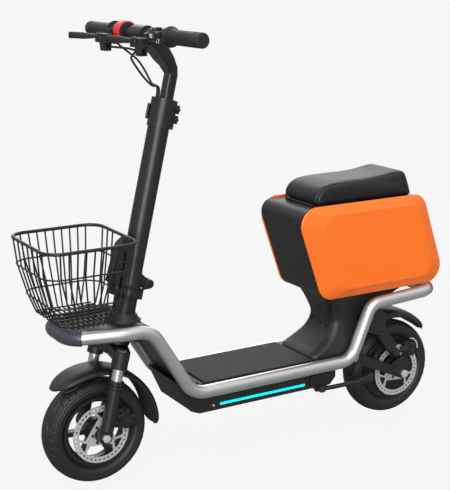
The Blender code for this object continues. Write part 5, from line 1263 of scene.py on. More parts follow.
def sink_seams(thing):
    middle = Vector((0.300, 0.600))
    for v in thing.data.vertices:
        x, y, z = v.co
        v.co.z = max(z, CUSHION_LOW + 0.0003)
        front = min(1.0, max(0.0, (0.262 - y) / 0.060))
        away = abs(abs(x) - SEAM_X) / SEAM_WIDTH
        if front > 0 and away < 2.2:
            depth = SEAM_DEPTH * front * exp(-away * away)
            pull = Vector((0, middle.x - y, middle.y - z)).normalized()
            v.co += (pull * 0.8 + Vector((-copysign(0.6, x), 0, 0))) * depth


def build_cushion():
    thing = mesh_object('seat_cushion_form', seat_block(0.0018))
    grid = thing.modifiers.new('grid', 'REMESH')
    grid.mode = 'VOXEL'
    grid.voxel_size = 0.0042
    apply_modifiers(thing)
    swell(thing, 0.003)
    relaxed = thing.modifiers.new('relaxed', 'SMOOTH')
    relaxed.factor = 0.5
    relaxed.iterations = 5
    apply_modifiers(thing)
    finer = thing.modifiers.new('finer', 'SUBSURF')
    finer.levels = 1
    finer.render_levels = 1
    apply_modifiers(thing)
    sink_seams(thing)
    clothe(thing, 'cushion')
    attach(thing, BODY_OF['seat_cushion'])
    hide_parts('seat_cushion')


# Rear suspension
def build_swingarm():
    axle = (AXLE_Y, TYRE_R)
    slope = degrees(atan2(0.13 - PIVOT_Z, 0.42 - PIVOT_Y))
    beam = arc(0.013, slope + 90, slope + 270, 8, (PIVOT_Y, PIVOT_Z))
    end = Vector((0.408, 0.1355))
    normal = Vector(polar(1, radians(slope + 90)))
    beam += [tuple(end - normal * 0.0122), (0.419, 0.1165)]
    beam += arc(0.0135, 240, 420, 6, axle)
    beam += [(0.423, 0.142), tuple(end + normal * 0.0122)]
    low = ARM_X - ARM_HALF
    high = ARM_X + ARM_HALF
    arm = plate(beam, low, high)
    web = [(0.383, 0.148), (0.395, 0.164)] + arc(0.0105, 150, 30, 5, SHOCK_FOOT)
    web += [(0.445, 0.16), (0.452, 0.152), (0.444, 0.14)] + arc(0.0145, 40, -150, 6, axle) + [(0.408, 0.13)]
    outer = plate(web, high - 0.0006, high + 0.0035)
    inner = plate(web, low - 0.0035, low + 0.0006)
    pin = placed(rod(SHOCK_PIN_R, low - 0.003, high + 0.003), at(*SHOCK_FOOT, 0))
    head = placed(bolt(0.007, 0.0032), at(*SHOCK_FOOT, high + 0.003))
    cross = placed(rod(0.0135, -low - 0.003, low + 0.003, 20), at(PIVOT_Y, PIVOT_Z, 0))
    shapes = [cross] + twice([arm, outer, inner, pin, head])
    cuts = [placed(rod(bore(0.005, GAP, PIN_SIDES), -0.1, 0.1), at(PIVOT_Y, PIVOT_Z, 0)),
            placed(rod(bore(REAR_AXLE_R, GAP, 16), -0.1, 0.1, 16), at(*axle, 0))]
    publish('swingarm', all_placed(shapes, ALONG_X), cuts=all_placed(cuts, ALONG_X))


def build_rear_axle():
    low = ARM_X - ARM_HALF - 0.0035 - GAP
    high = ARM_X + ARM_HALF + 0.0035
    shapes = axle_pin(REAR_AXLE_R, low, -low, -0.034, REAR_DISC_X + 0.0014, high)
    publish('rear_axle', all_placed(shapes, wheel_frame(REAR_AXLE)), 'steel')


def shock_frame():
    down = Vector((0, SHOCK_FOOT[0] - SHOCK_TOP[0], SHOCK_FOOT[1] - SHOCK_TOP[1])).normalized()
    across = Vector((1, 0, 0))
    third = down.cross(across)
    turn = Matrix(((across.x, third.x, down.x), (across.y, third.y, down.y), (across.z, third.z, down.z)))
    return Matrix.Translation((SHOCK_X, *SHOCK_TOP)) @ turn.to_4x4()


def build_shocks():
    length = hypot(SHOCK_FOOT[0] - SHOCK_TOP[0], SHOCK_FOOT[1] - SHOCK_TOP[1])
    frame = shock_frame()
    eye = sleeve(0.0095, bore(SHOCK_PIN_R, GAP, 12), -0.0100, 0.0100, 12)
    rod_r = 0.0118
    top = 0.0075
    cover = fillet(window(0, 0, SHOCK_R, SHOCK_R), 0.0035, 1)
    can = plate(cover, top + 0.006, 0.0778, [circle(bore(rod_r, 0.0006, 12), 12)])
    neck = lathe([(0, top), (0.0090, top), (0.0125, top + 0.004), (0.0140, top + 0.0062), (0, top + 0.0062)], 12,
                 closed=False)
    seam = plate(window(0, 0, SHOCK_R + 0.001, SHOCK_R + 0.001), 0.0560, 0.0568,
                 [window(0, 0, SHOCK_R - 0.0008, SHOCK_R - 0.0008)])
    upper = all_placed([can, neck], frame) + [turned(eye, SHOCK_X, *SHOCK_TOP)]
    pair('shock_upper', upper, cuts=[placed(seam, frame)])
    inner = lathe([(0, 0.036), (rod_r, 0.036), (rod_r, 0.097), (0.0142, 0.098), (0.0142, 0.104),
                   (0.0095, 0.1105), (0.0085, length - 0.0070), (0, length - 0.0070)], 12, closed=False)
    pair('shock_lower', [placed(inner, frame), turned(eye, SHOCK_X, *SHOCK_FOOT)])


def tube_notches():
    path = [p for p in half_path() if p.y > -0.25 and p.x > 0.05]
    tube = wire(path, TUBE_R + GAP / cos(pi / TUBE_SIDES), TUBE_SIDES)
    return both(tube)


def build_rear_bracket():
    cheek = [(0.364, 0.302), (0.3424, 0.319)] + arc(0.05, 100, 178, 5, (0.3424, 0.2738))
    cheek += [(0.305, 0.264), (0.333, 0.2535), (0.348, 0.2515), (0.3575, 0.26)]
    outer = plate(cheek, 0.0862, 0.09)
    tab = [(0.328, 0.307), (0.33, 0.264), (0.338, 0.253), (0.35, 0.253), (0.355, 0.264), (0.345, 0.307)]
    tab = plate(tab, 0.048, 0.0515)
    pin = placed(rod(SHOCK_PIN_R, 0.049, 0.089), at(*SHOCK_TOP, 0))
    head = placed(bolt(0.007, 0.0035), at(*SHOCK_TOP, 0.0892))
    shapes = [placed(rod(0.008, -0.088, 0.088, 16), at(0.325, 0.3, 0))] + twice([outer, tab, pin, head])
    publish('rear_bracket', all_placed(shapes, ALONG_X), cuts=tube_notches())


def build_swing_pivot():
    lug = arc(0.013, 200, 400, 8, (PIVOT_Y, PIVOT_Z))
    lug += [(0.28, 0.23)] + arc(0.0675, -22, -62, 5, (0.2063, 0.2615)) + [(0.24, 0.1905)]
    ear = plate(lug, 0.0793, 0.0826)
    head = placed(bolt(0.0085, 0.0035), at(PIVOT_Y, PIVOT_Z, 0.082))
    shapes = [placed(rod(0.005, -0.081, 0.081), at(PIVOT_Y, PIVOT_Z, 0))] + twice([ear, head])
    publish('swing_pivot', all_placed(shapes, ALONG_X), cuts=tube_notches())


def build_rear_guard():
    guard = guard_shape(REAR_GUARD_CENTRE, 29.5, 118, 0.04, 12, 0.22, 1.0, 0.9)
    ear = [(0.3345, 0.292), (0.34, 0.268), (0.39, 0.2815), (0.364, 0.303), (0.3345, 0.306)]
    ear = turned(plate(ear, 0.0383, 0.043))
    screw = turned(bolt(0.0042, 0.003), 0.0422, 0.35, 0.296)
    spacer = turned(rod(0.0045, 0.042, 0.048 - GAP), 0, 0.34, 0.283)
    shapes = [guard] + both(ear, screw, spacer)
    publish('rear_mudguard', shapes, 'black_plastic')


def rear_cable():
    path = smooth_path([(0.074, 0.4545, 0.2188), (0.0762, 0.4632, 0.2165), (0.077, 0.4718, 0.2092),
                        (0.077, 0.4768, 0.1985), (0.077, 0.4775, 0.188)], 3)
    return wire(path, 0.0016, 14)


def build_fasteners():
    port = turned(bolt(0.0038, 0.003), CASE_HALF + 0.0006, -0.149, STRIP_Z)
    detail('case_screw', [port], 'chrome', 'battery_case')
    detail('guard_screws', both(turned(bolt(0.004, 0.003), 0.0424, 0.3655, 0.2845)), 'chrome', 'rear_mudguard')
    ring = placed(sleeve(0.0088, 0.0066, 0.0815, 0.0862, 16), ALONG_X @ at(PIVOT_Y, PIVOT_Z, 0))
    detail('pivot_rings', both(ring), 'steel', 'swing_pivot')


# Stem
def build_stem():
    low = FOLD_T + GAP
    tube = lathe([(0, low), (0.0282, low), (0.0288, 0.35), (0.0286, 0.358), (0.0272, 0.368), (0.0258, 0.38),
                  (STEM_R, 0.392), (STEM_R, STEM_TOP), (STEM_BORE, STEM_TOP), (STEM_BORE, 0.4), (0, 0.396)],
                 ROUND_SIDES, closed=False)
    arm = [(0.02, 0.349), (0.033, 0.349)]
    arm += arc(KNUCKLE_R - 0.003, -105, 70, 8, (FOLD_PIN_BACK, FOLD_PIN_T))
    arm += [(0.0405, 0.3715), (0.033, 0.374), (0.0285, 0.3775), (0.02, 0.383)]
    pin_bore = bore(SHOCK_PIN_R, GAP, PIN_SIDES)
    knuckle = plate(arm, -0.012, 0.012, [circle(pin_bore, PIN_SIDES, (FOLD_PIN_BACK, FOLD_PIN_T))])
    publish('stem_tube', [placed(tube, STEER), placed(knuckle, STEER_SIDE)])


LEVER_PIN_X = -0.0175
LEVER_PIN_BACK = 0.036


def neck_outline(grow):
    radius = NECK_BACK_R + grow
    flat = -NECK_FLAT - grow
    reach = sqrt(radius * radius - flat * flat)
    first = degrees(atan2(flat, reach))
    return arc(radius, first, 180 - first, 12, (0, NECK_CENTRE))


def build_collar():
    inner = bore(STEM_R, GAP, ROUND_SIDES)
    outline = arc(COLLAR_R, 68, -248, 18)
    outline += [(-0.0105, 0.04), (-0.001, 0.04)]
    outline += arc(inner, 93, 447, 18)[1:-1]
    outline += [(0.001, 0.04), (0.0105, 0.04)]
    band = plate(outline, COLLAR_LOW, STEM_TOP + 0.0018)
    liner = rod(STEM_BORE * cos(pi / ROUND_SIDES) - GAP, 0.735, STEM_TOP + 0.0015, ROUND_SIDES)
    shapes = [band, liner, rod(0.0271, STEM_TOP + GAP, STEM_TOP + 0.0032, 18)]
    for level in (0.746, 0.769):
        shapes.append(turned(bolt(0.0056, 0.006), 0.01, 0.035, level))
    for level in (0.733, 0.7725):
        lug = [(-0.0095, 0.029), (-0.0095, 0.0395), (-0.0175, 0.0405), (-0.0215, 0.036), (-0.0175, 0.0325)]
        shapes.append(plate(lug, level, level + 0.003))
    shapes.append(placed(rod(0.0025, 0.7345, 0.774, 8), at(LEVER_PIN_X, LEVER_PIN_BACK, 0)))
    hole = neck_outline(GAP)
    front = hole[-1][1]
    wide = 0.0045 + CABLE_R + GAP
    notch = CABLE_PERP - CABLE_R - GAP
    hole += [(-wide, front), (-wide, notch), (wide, notch), (wide, front)]
    cut = plate(hole, 0.725, STEM_TOP + 0.01)
    ears = box(-0.0125, 0.0318, 0.0125, 0.042)
    gaps = [plate(ears, low, high) for low, high in ((0.715, 0.736), (0.7555, 0.759), (0.779, 0.795))]
    publish('stem_collar', all_placed(shapes, STEER), cuts=all_placed([cut] + gaps, STEER))
    blade = arc(0.006, 190, 0, 8, (LEVER_PIN_X, LEVER_PIN_BACK)) + [(-0.0125, 0.031)]
    blade += arc(0.0305, 122, 250, 12) + arc(0.0345, 250, 140, 12)
    lever = plate(blade, 0.7365, 0.772, [circle(bore(0.0025, GAP, 8), 8, (LEVER_PIN_X, LEVER_PIN_BACK))])
    publish('collar_lever', [placed(lever, STEER)])


# Handlebar
def bar_frame():
    return at(0, BAR_Y, BAR_Z) @ ALONG_X


def neck_body():
    outline = neck_outline(0.0)
    count = len(outline)
    rings = [steer_ring(outline, level) for level in (NECK_LOW, 0.845)]
    head = ((0.962, -0.214, 8, 0.02, 0.033), (0.98, -0.224, -16, 0.0245, 0.0345), (1.0, -0.237, -30, 0.0275, 0.0352),
            (1.017, -0.25, -44, 0.0278, 0.035), (1.027, -0.2665, -50, 0.0278, 0.03))
    for z, y, lean, half, depth in head:
        turn = radians(lean)
        back = Vector((0, cos(turn), -sin(turn)))
        ring = []
        for i in range(count):
            angle = pi * i / (count - 1)
            wide = half * copysign(abs(cos(angle)) ** NECK_ROUNDING, cos(angle))
            deep = depth * abs(sin(angle)) ** NECK_ROUNDING - depth / 2
            ring.append(Vector((wide, y, z)) + back * deep)
        rings.append(ring)
    return loft(rings)


def build_handlebar():
    tube = sleeve(BAR_R, BAR_R - 0.002, -BAR_HALF, BAR_HALF)
    clamp = plate(circle(0.0195, ROUND_SIDES), -0.0286, 0.0286, [circle(BAR_R - 0.001, 16)])
    shapes = [neck_body()] + all_placed([tube, clamp], bar_frame())
    for x in (-0.019, 0.019):
        shapes.append(placed(bolt(0.0035, 0.0035), toward((x, BAR_Y - 0.0185, BAR_Z), (0, -1, 0))))
    holes = [placed(rod(0.0026, -0.004, 0.004, 12), toward(steer_point(-0.0065, NECK_CENTRE - NECK_FLAT, level),
                                                           -BACK)) for level in (0.8223, 0.804)]
    publish('handlebar', shapes, cuts=holes)


def build_grips():
    inner = bore(BAR_R, GAP, 12)
    profile = [(inner, GRIP_START), (0.0225, GRIP_START), (0.023, GRIP_START + 0.003), (0.0195, GRIP_START + 0.007),
               (GRIP_R, GRIP_START + 0.014)]
    for i in range(4):
        start = GRIP_END - 0.032 + 0.006 * i
        profile += [(GRIP_R, start), (GRIP_R - 0.0015, start + 0.0012), (GRIP_R, start + 0.0024)]
    profile += [(GRIP_R, GRIP_END - 0.0025), (GRIP_R - 0.0025, GRIP_END), (0, GRIP_END), (0, BAR_HALF + GAP),
                (inner, BAR_HALF + GAP)]
    pair('grip', [placed(lathe(profile, 12), bar_frame())], 'rubber')


def perch_shapes(pivot_x, clamp_x):
    outline = [(BAR_Y + y, BAR_Z + z) for y, z in arc(0.017, -150, 150, 10)]
    nose = [(BAR_Y - 0.0245, BAR_Z + 0.004), (BAR_Y - 0.0245, BAR_Z - 0.012)]
    clamp = turned(plate(outline + nose, clamp_x - 0.007, clamp_x + 0.007))
    rear = LEVER_Y + 0.0205
    body = [(pivot_x - 0.01, LEVER_Y - 0.004), (pivot_x - 0.004, LEVER_Y - 0.011),
            (pivot_x + 0.042, LEVER_Y - 0.008), (pivot_x + 0.046, LEVER_Y - 0.004),
            (pivot_x + 0.046, LEVER_Y + 0.01), (pivot_x + 0.026, LEVER_Y + 0.015), (pivot_x + 0.022, rear),
            (pivot_x - 0.004, rear), (pivot_x - 0.01, LEVER_Y + 0.013)]
    low = LEVER_Z - 0.0125
    top_cap = plate(body, LEVER_Z + 0.0045, LEVER_Z + 0.0075)
    base = plate(body, low, LEVER_Z - 0.004)
    block = [(LEVER_Y - 0.006, 0.996), (LEVER_Y + 0.01, 0.996), (LEVER_Y + 0.012, low + 0.001),
             (LEVER_Y - 0.008, low + 0.001)]
    slot = box(LEVER_Y - 0.002, 0.9985, LEVER_Y + 0.006, 1.0105)
    block = turned(plate(block, pivot_x + 0.0125, pivot_x + 0.038, [slot]))
    link = plate([(pivot_x + 0.02, LEVER_Y - 0.006), (pivot_x + 0.043, LEVER_Y - 0.006),
                  (pivot_x + 0.043, LEVER_Y + 0.009), (pivot_x + 0.02, LEVER_Y + 0.012)], LEVER_Z - 0.005,
                 LEVER_Z + 0.0055)
    pin = placed(rod(0.0022, LEVER_Z - 0.005, LEVER_Z + 0.0055, 10), at(pivot_x, LEVER_Y, 0))
    cap = placed(bolt(0.0045, 0.003), at(pivot_x, LEVER_Y, LEVER_Z + 0.0068))
    barrel = turned(rod(0.0042, 0.005, 0.014, 10), pivot_x, LEVER_Y + 0.0022, 1.0045)
    return [clamp, top_cap, base, block, link, pin, cap, barrel]


def lever_shapes(pivot_x, reach, tip_z):
    hole = circle(bore(0.0022, GAP, 10), 10, (pivot_x, LEVER_Y))
    boss = plate(circle(0.0075, 14, (pivot_x, LEVER_Y)), LEVER_Z - 0.0035, LEVER_Z + 0.004, [hole])
    stations = ((0.0045, 0.0, 0.0052), (0.03, -0.0035, 0.005), (0.055, -0.0065, 0.0042),
                (reach * 0.75, -0.008, 0.0042), (reach - 0.012, -0.011, 0.004), (reach - 0.003, -0.0135, 0.0038),
                (reach, -0.0145, 0.002))
    rings = []
    for along, shift, half_y in smooth_path(stations, 2):
        f = along / reach
        z = LEVER_Z + 0.0002 + (tip_z - LEVER_Z) * f
        half_z = 0.0036 + 0.0044 * min(1.0, f * 2) * (0.6 if f > 0.999 else 1.0)
        outline = [(LEVER_Y + shift + half_y * cos(a), z + half_z * sin(a))
                   for a in [2 * pi * k / 32 for k in range(32)]]
        rings.append([(pivot_x - along, y, level) for y, level in outline])
    return [boss, loft(rings)]


def build_levers():
    for name, pivot_x, reach, tip_z in (('right', RIGHT_PIVOT_X, RIGHT_REACH, 1.023),
                                        ('left', LEFT_PIVOT_X, LEFT_REACH, 1.026)):
        publish(name + '_brake_lever', lever_shapes(pivot_x, reach, tip_z))


def build_controls():
    sleeve_cut = placed(rod(bore(BAR_R, GAP, ROUND_SIDES), -0.2, 0.2, ROUND_SIDES), bar_frame())
    housing = arc(0.0185, -60, 240, 10)
    housing = plate(housing, -0.1205, RING_OUT - GAP)
    outlet = plate([(-0.011, -0.015), (-0.022, -0.019), (-0.022, -0.0275), (-0.013, -0.029), (-0.004, -0.016)],
                   -0.117, -0.101)
    shapes = perch_shapes(RIGHT_PIVOT_X, -0.1265) + all_placed([housing, outlet], bar_frame())
    publish('right_controls', shapes, cuts=[sleeve_cut])
    pod = arc(0.0175, -40, 130, 6) + [(-0.024, 0.015), (-0.027, 0.008), (-0.027, -0.006), (-0.018, -0.015)]
    pod = plate(pod, 0.089, 0.12)
    cuff = rod(0.0158, 0.069, 0.091, ROUND_SIDES)
    shapes = perch_shapes(LEFT_PIVOT_X, 0.064) + all_placed([pod, cuff], bar_frame())
    pocket = box(-0.031, -0.0045, -0.0245, 0.0065)
    pocket = placed(plate(pocket, 0.093, 0.104), bar_frame())
    publish('left_controls', shapes, cuts=[sleeve_cut, pocket])
    back = -0.0265
    key = plate([(back, -0.004), (back - 0.0024, -0.004), (back - 0.0032, -0.0032), (back - 0.0032, 0.0052),
                 (back - 0.0024, 0.006), (back, 0.006)], 0.0935, 0.1035)
    publish('mode_button', [placed(key, bar_frame())], 'steel')


def build_throttle():
    inner = bore(BAR_R, GAP + RUNNING, 20)
    rim = RING_R
    ring = lathe([(inner, RING_OUT), (rim - 0.002, RING_OUT), (rim, RING_OUT + 0.003), (rim, RING_IN - 0.0035),
                  (rim - 0.003, RING_IN), (rim - 0.0058, RING_IN), (rim - 0.0062, RING_IN - 0.0022),
                  (0.0165, RING_IN - 0.0022), (0.0155, RING_IN), (inner, RING_IN)], 20)
    publish('throttle_ring', [placed(ring, bar_frame())], 'red')
    face = lathe([(0.013, RING_IN - 0.0021), (0.013, RING_IN + 0.0012), (0.0195, RING_IN + 0.0012),
                  (rim - 0.0026, RING_IN + 0.0006), (rim - 0.0024, RING_IN - 0.0006),
                  (rim - 0.0064, RING_IN - 0.0021)], 20)
    detail('throttle_face', [placed(face, bar_frame())], 'black_plastic', 'throttle_ring')


def build_switches():
    frames = []
    keys = []
    for x0, x1, y0, y1, z in ((0.0965, 0.1130, -0.0235, -0.0080, 0.0170), (0.1150, 0.1290, -0.0270, -0.0140, 0.0085)):
        outer = box(x0, BAR_Y + y0, x1, BAR_Y + y1)
        inner = box(x0 + 0.0015, BAR_Y + y0 + 0.0015, x1 - 0.0015, BAR_Y + y1 - 0.0015)
        frames.append(plate(outer, BAR_Z + z, BAR_Z + z + 0.0030, [inner]))
        keys.append(plate(outer, BAR_Z + z - 0.0120, BAR_Z + z - 0.0002))
        keys.append(plate(inner, BAR_Z + z - 0.0010, BAR_Z + z + 0.0018))
    horn = toward((0.1245, BAR_Y - 0.0215, BAR_Z - 0.0080), (0, -1, -0.15))
    frames.append(placed(lathe([(0.0042, 0), (0.0060, 0), (0.0060, 0.0040), (0.0050, 0.0046), (0.0042, 0.0040)], 12),
                         horn))
    keys.append(placed(rod(0.0058, -0.0100, 0.0030, 12), horn))
    detail('switch_frames', frames, 'chrome', 'left_controls', 0.0003)
    detail('switch_keys', keys, 'black_plastic', 'left_controls', 0.0005)


def cable_paths():
    right = [steer_point(-0.0045, CABLE_PERP, level) for level in (0.806, 0.7355, 0.665)]
    left = mirror_path(right)
    first = [(-0.098, -0.299, 1.015), (-0.089, -0.2948, 1.0078), (-0.07, -0.285, 0.995), (-0.045, -0.272, 0.977),
             (-0.026, -0.263, 0.953), (-0.012, -0.254, 0.926)]
    second = [(0.0535, -0.3235, 1.004), (0.0505, -0.329, 0.9985), (0.045, -0.331, 0.988), (0.034, -0.3126, 0.9663),
              (0.022, -0.2899, 0.9432), (0.0112, -0.266, 0.924)]
    cross = [(-0.0914, -0.3215, 1.006), (-0.05, -0.318, 1.0065), (-0.02, -0.316, 1.007), (0.02, -0.3185, 1.007),
             (0.0545, -0.3205, 1.005)]
    return [smooth_path(first + right, 2), smooth_path(second + left, 2), smooth_path(cross, 2)]


def build_cables():
    shapes = [wire(path, CABLE_R, 16) for path in cable_paths()]
    boot = plate(box(-0.328, 1.0005, -0.3175, 1.0085), 0.052, 0.0572)
    tie = plate(window(0, -0.0185, 0.0068, 0.002), 0.68, 0.7)
    shapes += [turned(boot), placed(tie, STEER)]
    publish('cable_harness', shapes, 'rubber')


# Basket, bracket and latch
LATCH_BACK = -0.046
LATCH_T = 0.3575


def build_basket_bracket():
    half = 0.014
    wall = 0.0025
    rings = []
    for level, front, rear in ((0.364, -0.0553, -0.033), (0.376, -0.0545, -0.0228), (0.443, -0.049, -0.0228),
                               (0.461, -0.0347, -0.0228)):
        ring = [(-half, rear), (-half, front), (half, front), (half, rear), (half - wall, rear),
                (half - wall, front + wall), (-half + wall, front + wall), (-half + wall, rear)]
        rings.append(steer_ring(ring, level))
    cheek = [(-0.0545, 0.368), (-0.0345, 0.368), (-0.0345, 0.352), (-0.0394, 0.345), (-0.056, 0.353)]
    cheek = plate(cheek, half - wall - 0.0003, half + 0.0003)
    side = [cheek, flip_z(cheek), placed(rod(0.002, -half + 0.001, half - 0.001, 8), at(LATCH_BACK, LATCH_T, 0))]
    pad = plate(window(0, -0.03535, 0.0122, 0.00965), 0.384, 0.43)
    shapes = [loft(rings)] + all_placed(side, STEER_SIDE) + [placed(pad, STEER)]
    cuts = [plate(window(-0.03, 0.4165, 0.0022, 0.011), -0.02, 0.02),
            plate(window(-0.029, 0.392, 0.002, 0.01), -0.02, 0.02),
            plate(circle(0.0024, 12, (-0.0395, 0.418)), -0.02, 0.02),
            plate(circle(0.0022, 12, (-0.0325, 0.373)), -0.02, 0.02)]
    publish('basket_bracket', shapes, cuts=all_placed(cuts, STEER_SIDE))
    screw = placed(bolt(0.003, 0.0026), at(-0.0385, 0.404, half - 0.0004))
    detail('bracket_screws', all_placed([screw, flip_z(screw)], STEER_SIDE), 'chrome', 'basket_bracket')
    paddle = arc(0.0055, 60, 200, 6, (LATCH_BACK, LATCH_T))
    paddle += [(-0.05, 0.343), (-0.046, 0.326), (-0.04, 0.3255), (-0.0405, 0.35)]
    hole = circle(bore(0.002, GAP, 8), 8, (LATCH_BACK, LATCH_T))
    paddle = placed(plate(paddle, -0.0106, 0.0106, [hole]), STEER_SIDE)
    publish('fold_latch', [paddle])


def basket_size(z):
    return blend(BASKET_LEVELS, z)


def basket_rim(z, steps):
    half, y0, y1 = basket_size(z)
    corners = [(-half, y0, z), (half, y0, z), (half, y1, z), (-half, y1, z)]
    return fillet(corners, BASKET_CORNER, steps)


def open_hoop(z, grow, steps, gap_half):
    half, y0, y1 = basket_size(z)
    points = [(gap_half, y1 + grow, z), (half + grow, y1 + grow, z), (half + grow, y0 - grow, z),
              (-half - grow, y0 - grow, z), (-half - grow, y1 + grow, z), (-gap_half, y1 + grow, z)]
    return fillet(points, BASKET_CORNER + grow, steps, closed=False)


def side_wire_path(f, ends, levels):
    column = []
    for z in (ends, levels[1], levels[2], BASKET_FLOOR):
        half, y0, y1 = basket_size(z)
        rim = BASKET_CORNER * (0.72 if z > BASKET_FLOOR else 0.62)
        column.append(Vector((half, y0 + rim + (y1 - y0 - 2 * rim) * f, z)))
    right = mirror_path(column[::-1])
    return fillet(column + right, [0, 0, 0, 0.007, 0.007, 0, 0, 0], 1, closed=False)


def end_wire_paths(x, ends, levels, low):
    rim_half = basket_size(ends)[0]
    floor_half = basket_size(low)[0]
    front = []
    rear = []
    for z in (ends, levels[1], levels[2], low):
        y0, y1 = basket_size(z)[1:]
        across = x * (floor_half + (rim_half - floor_half) * (z - low) / (ends - low)) / rim_half
        front.append(Vector((across, y0, z)))
        rear.append(Vector((across, y1, z)))
    reach = Vector((0, 0.62 * BASKET_CORNER, 0))
    if x == 0:
        return [fillet(front + [front[-1] + reach], [0, 0, 0, 0.007, 0], 1, closed=False)]
    if abs(x) > BASKET_END_WIRES[0]:
        return [fillet(front + [front[-1] + reach], [0, 0, 0, 0.007, 0], 1, closed=False),
                fillet(rear + [rear[-1] - reach], [0, 0, 0, 0.007, 0], 1, closed=False)]
    return [fillet(front + rear[::-1], [0, 0, 0, 0.007, 0.007, 0, 0, 0], 1, closed=False)]


def build_basket():
    top_z = BASKET_LEVELS[0][0]
    levels = [level[0] for level in BASKET_LEVELS[:-1]]
    spread = 1.6 * WIRE_R
    wires = [wire(basket_rim(top_z, 2), RIM_WIRE_R, 24, closed=True)]
    for z, gap_half in zip(levels[1:], (0.014 + GAP, 0.0185)):
        wires.append(wire(open_hoop(z, spread, 2, gap_half), WIRE_R, WIRE_SIDES))
    ends = top_z - 0.6 * RIM_WIRE_R
    for i in range(BASKET_SIDE_WIRES):
        wires.append(wire(side_wire_path(i / (BASKET_SIDE_WIRES - 1), ends, levels), WIRE_R, WIRE_SIDES))
    for share in (0.0, *BASKET_END_WIRES):
        for sign in (1,) if share == 0 else (1, -1):
            for path in end_wire_paths(sign * share, ends, levels, BASKET_FLOOR + spread):
                wires.append(wire(path, WIRE_R, WIRE_SIDES))
    half, y0, y1 = basket_size(BASKET_FLOOR)
    for k in range(7):
        x = (half - 0.012) * (2 * k / 6 - 1)
        z = BASKET_FLOOR + 2 * WIRE_R
        wires.append(wire([(x, y0 + 0.004, z), (x, y1 - 0.004, z)], WIRE_R * 0.9, WIRE_SIDES))
    publish('wire_basket', wires)


# Kickstand
STAND_AXIS = Vector((cos(STAND_TILT), 0, sin(STAND_TILT)))


def stand_bracket():
    line = [(0.13, 0.156), (0.134, 0.1745), (0.192, 0.1735), (0.196, 0.156), (0.173, 0.129), (0.15, 0.129)]
    line = fillet(line, 0.005, 2)
    shapes = [turned(plate(line, 0.0765, 0.0795))]
    for y, z in ((0.141, 0.165), (0.185, 0.164)):
        shapes.append(turned(bolt(0.0052, 0.0036), 0.079, y, z))
        shapes.append(turned(rod(0.006, CASE_HALF - 0.0012, 0.0772, 10), 0, y, z))
    pivot = Vector(STAND_PIVOT)
    flat = [Vector((0.0788, pivot.y + y, pivot.z + z)) for y, z in circle(0.006, 10)]
    base = pivot - STAND_AXIS * 0.0058
    tilted = [p + Vector(((base - p).dot(STAND_AXIS) / STAND_AXIS.x, 0, 0)) for p in flat]
    frame = toward(pivot, STAND_AXIS)
    shapes.append(loft([flat, tilted]))
    shapes.append(placed(rod(0.004, -0.0065, 0.0078), frame))
    shapes.append(placed(bolt(0.007, 0.0028), frame @ at(0, 0, 0.0071)))
    return shapes


def build_kickstand():
    pivot = Vector(STAND_PIVOT)
    hub = placed(sleeve(0.009, bore(0.004, GAP, PIN_SIDES), -0.0052, 0.0068, 14), toward(pivot, STAND_AXIS))
    path = [pivot + Vector((0, 0.0065, 0)), pivot + Vector((0, 0.04, -0.001)), pivot + Vector((0, 0.08, -0.0015)),
            pivot + Vector((0, STAND_REACH, -0.002))]
    leg = wire(path, 0.0058, 28)
    heel = pivot + Vector((0, STAND_REACH - 0.004, -0.002))
    sole = [heel + Vector((x, 0, z)) for x, z in rounded_box(0.0066, -0.0066, 0.0066, 0.002, 1)]
    toe = [p + Vector(((p.x - heel.x) * 0.25, 0.031, 0.0006)) for p in sole]
    publish('kickstand', [leg, hub, loft([sole, toe])])
    root = [heel + Vector((x, -0.006, z)) for x, z in rounded_box(0.006, -0.006, 0.006, 0.002, 1)]
    tip = [heel + Vector((x, 0.042, z + 0.005)) for x, z in rounded_box(0.0028, -0.013, 0.011, 0.002, 1)]
    detail('stand_foot', [loft([root, tip])], 'mat', 'kickstand', 0.001)


# Camera, light and floor
CAMERA_PLACE = (2.37477, -1.46129, 1.20183)
CAMERA_AXES = ((0.506613, 0.862160, -0.004902), (-0.203327, 0.124999, 0.971099), (-0.837855, 0.490974, -0.238626))
CAMERA_LENS = 85.89


def build_camera():
    data = bpy.data.cameras.new('camera')
    data.sensor_fit = 'VERTICAL'
    data.sensor_height = 36.0
    data.lens = CAMERA_LENS
    data.clip_end = 60.0
    camera = bpy.data.objects.new('camera', data)
    bpy.context.scene.collection.objects.link(camera)
    right, up, ahead = [Vector(axis) for axis in CAMERA_AXES]
    x, y, z = CAMERA_PLACE
    camera.matrix_world = at(x, y + CENTRE_SHIFT, z) @ Matrix((right, up, -ahead)).transposed().to_4x4()
    bpy.context.scene.camera = camera


BACKDROP = 0.93
SKY = 0.82
FLOOR_TONE = 0.22
FLOOR_GLOW = 1.0
FLOOR_REACH = 25.0
FLOOR_CELLS = 24
FLOOR_Z = -0.0008


def build_world():
    world = bpy.data.worlds.new('studio')
    bpy.context.scene.world = world
    world.use_nodes = True
    tree = world.node_tree
    tree.nodes.clear()
    place = add_node(tree, 'ShaderNodeTexCoord').outputs['Generated']
    split = add_node(tree, 'ShaderNodeSeparateXYZ', Vector=place)
    height = add_node(tree, 'ShaderNodeMapRange', Value=split.outputs['Z'], From_Min=-0.10, From_Max=0.75,
                      To_Min=0.30, To_Max=1.0)
    soft = add_node(tree, 'ShaderNodeBackground', Color=height.outputs['Result'], Strength=SKY)
    white = add_node(tree, 'ShaderNodeBackground', Color=(BACKDROP, BACKDROP, BACKDROP, 1))
    seen = add_node(tree, 'ShaderNodeLightPath').outputs['Is Camera Ray']
    mix_to(tree, 'ShaderNodeOutputWorld', seen, soft.outputs['Background'], white.outputs['Background'])


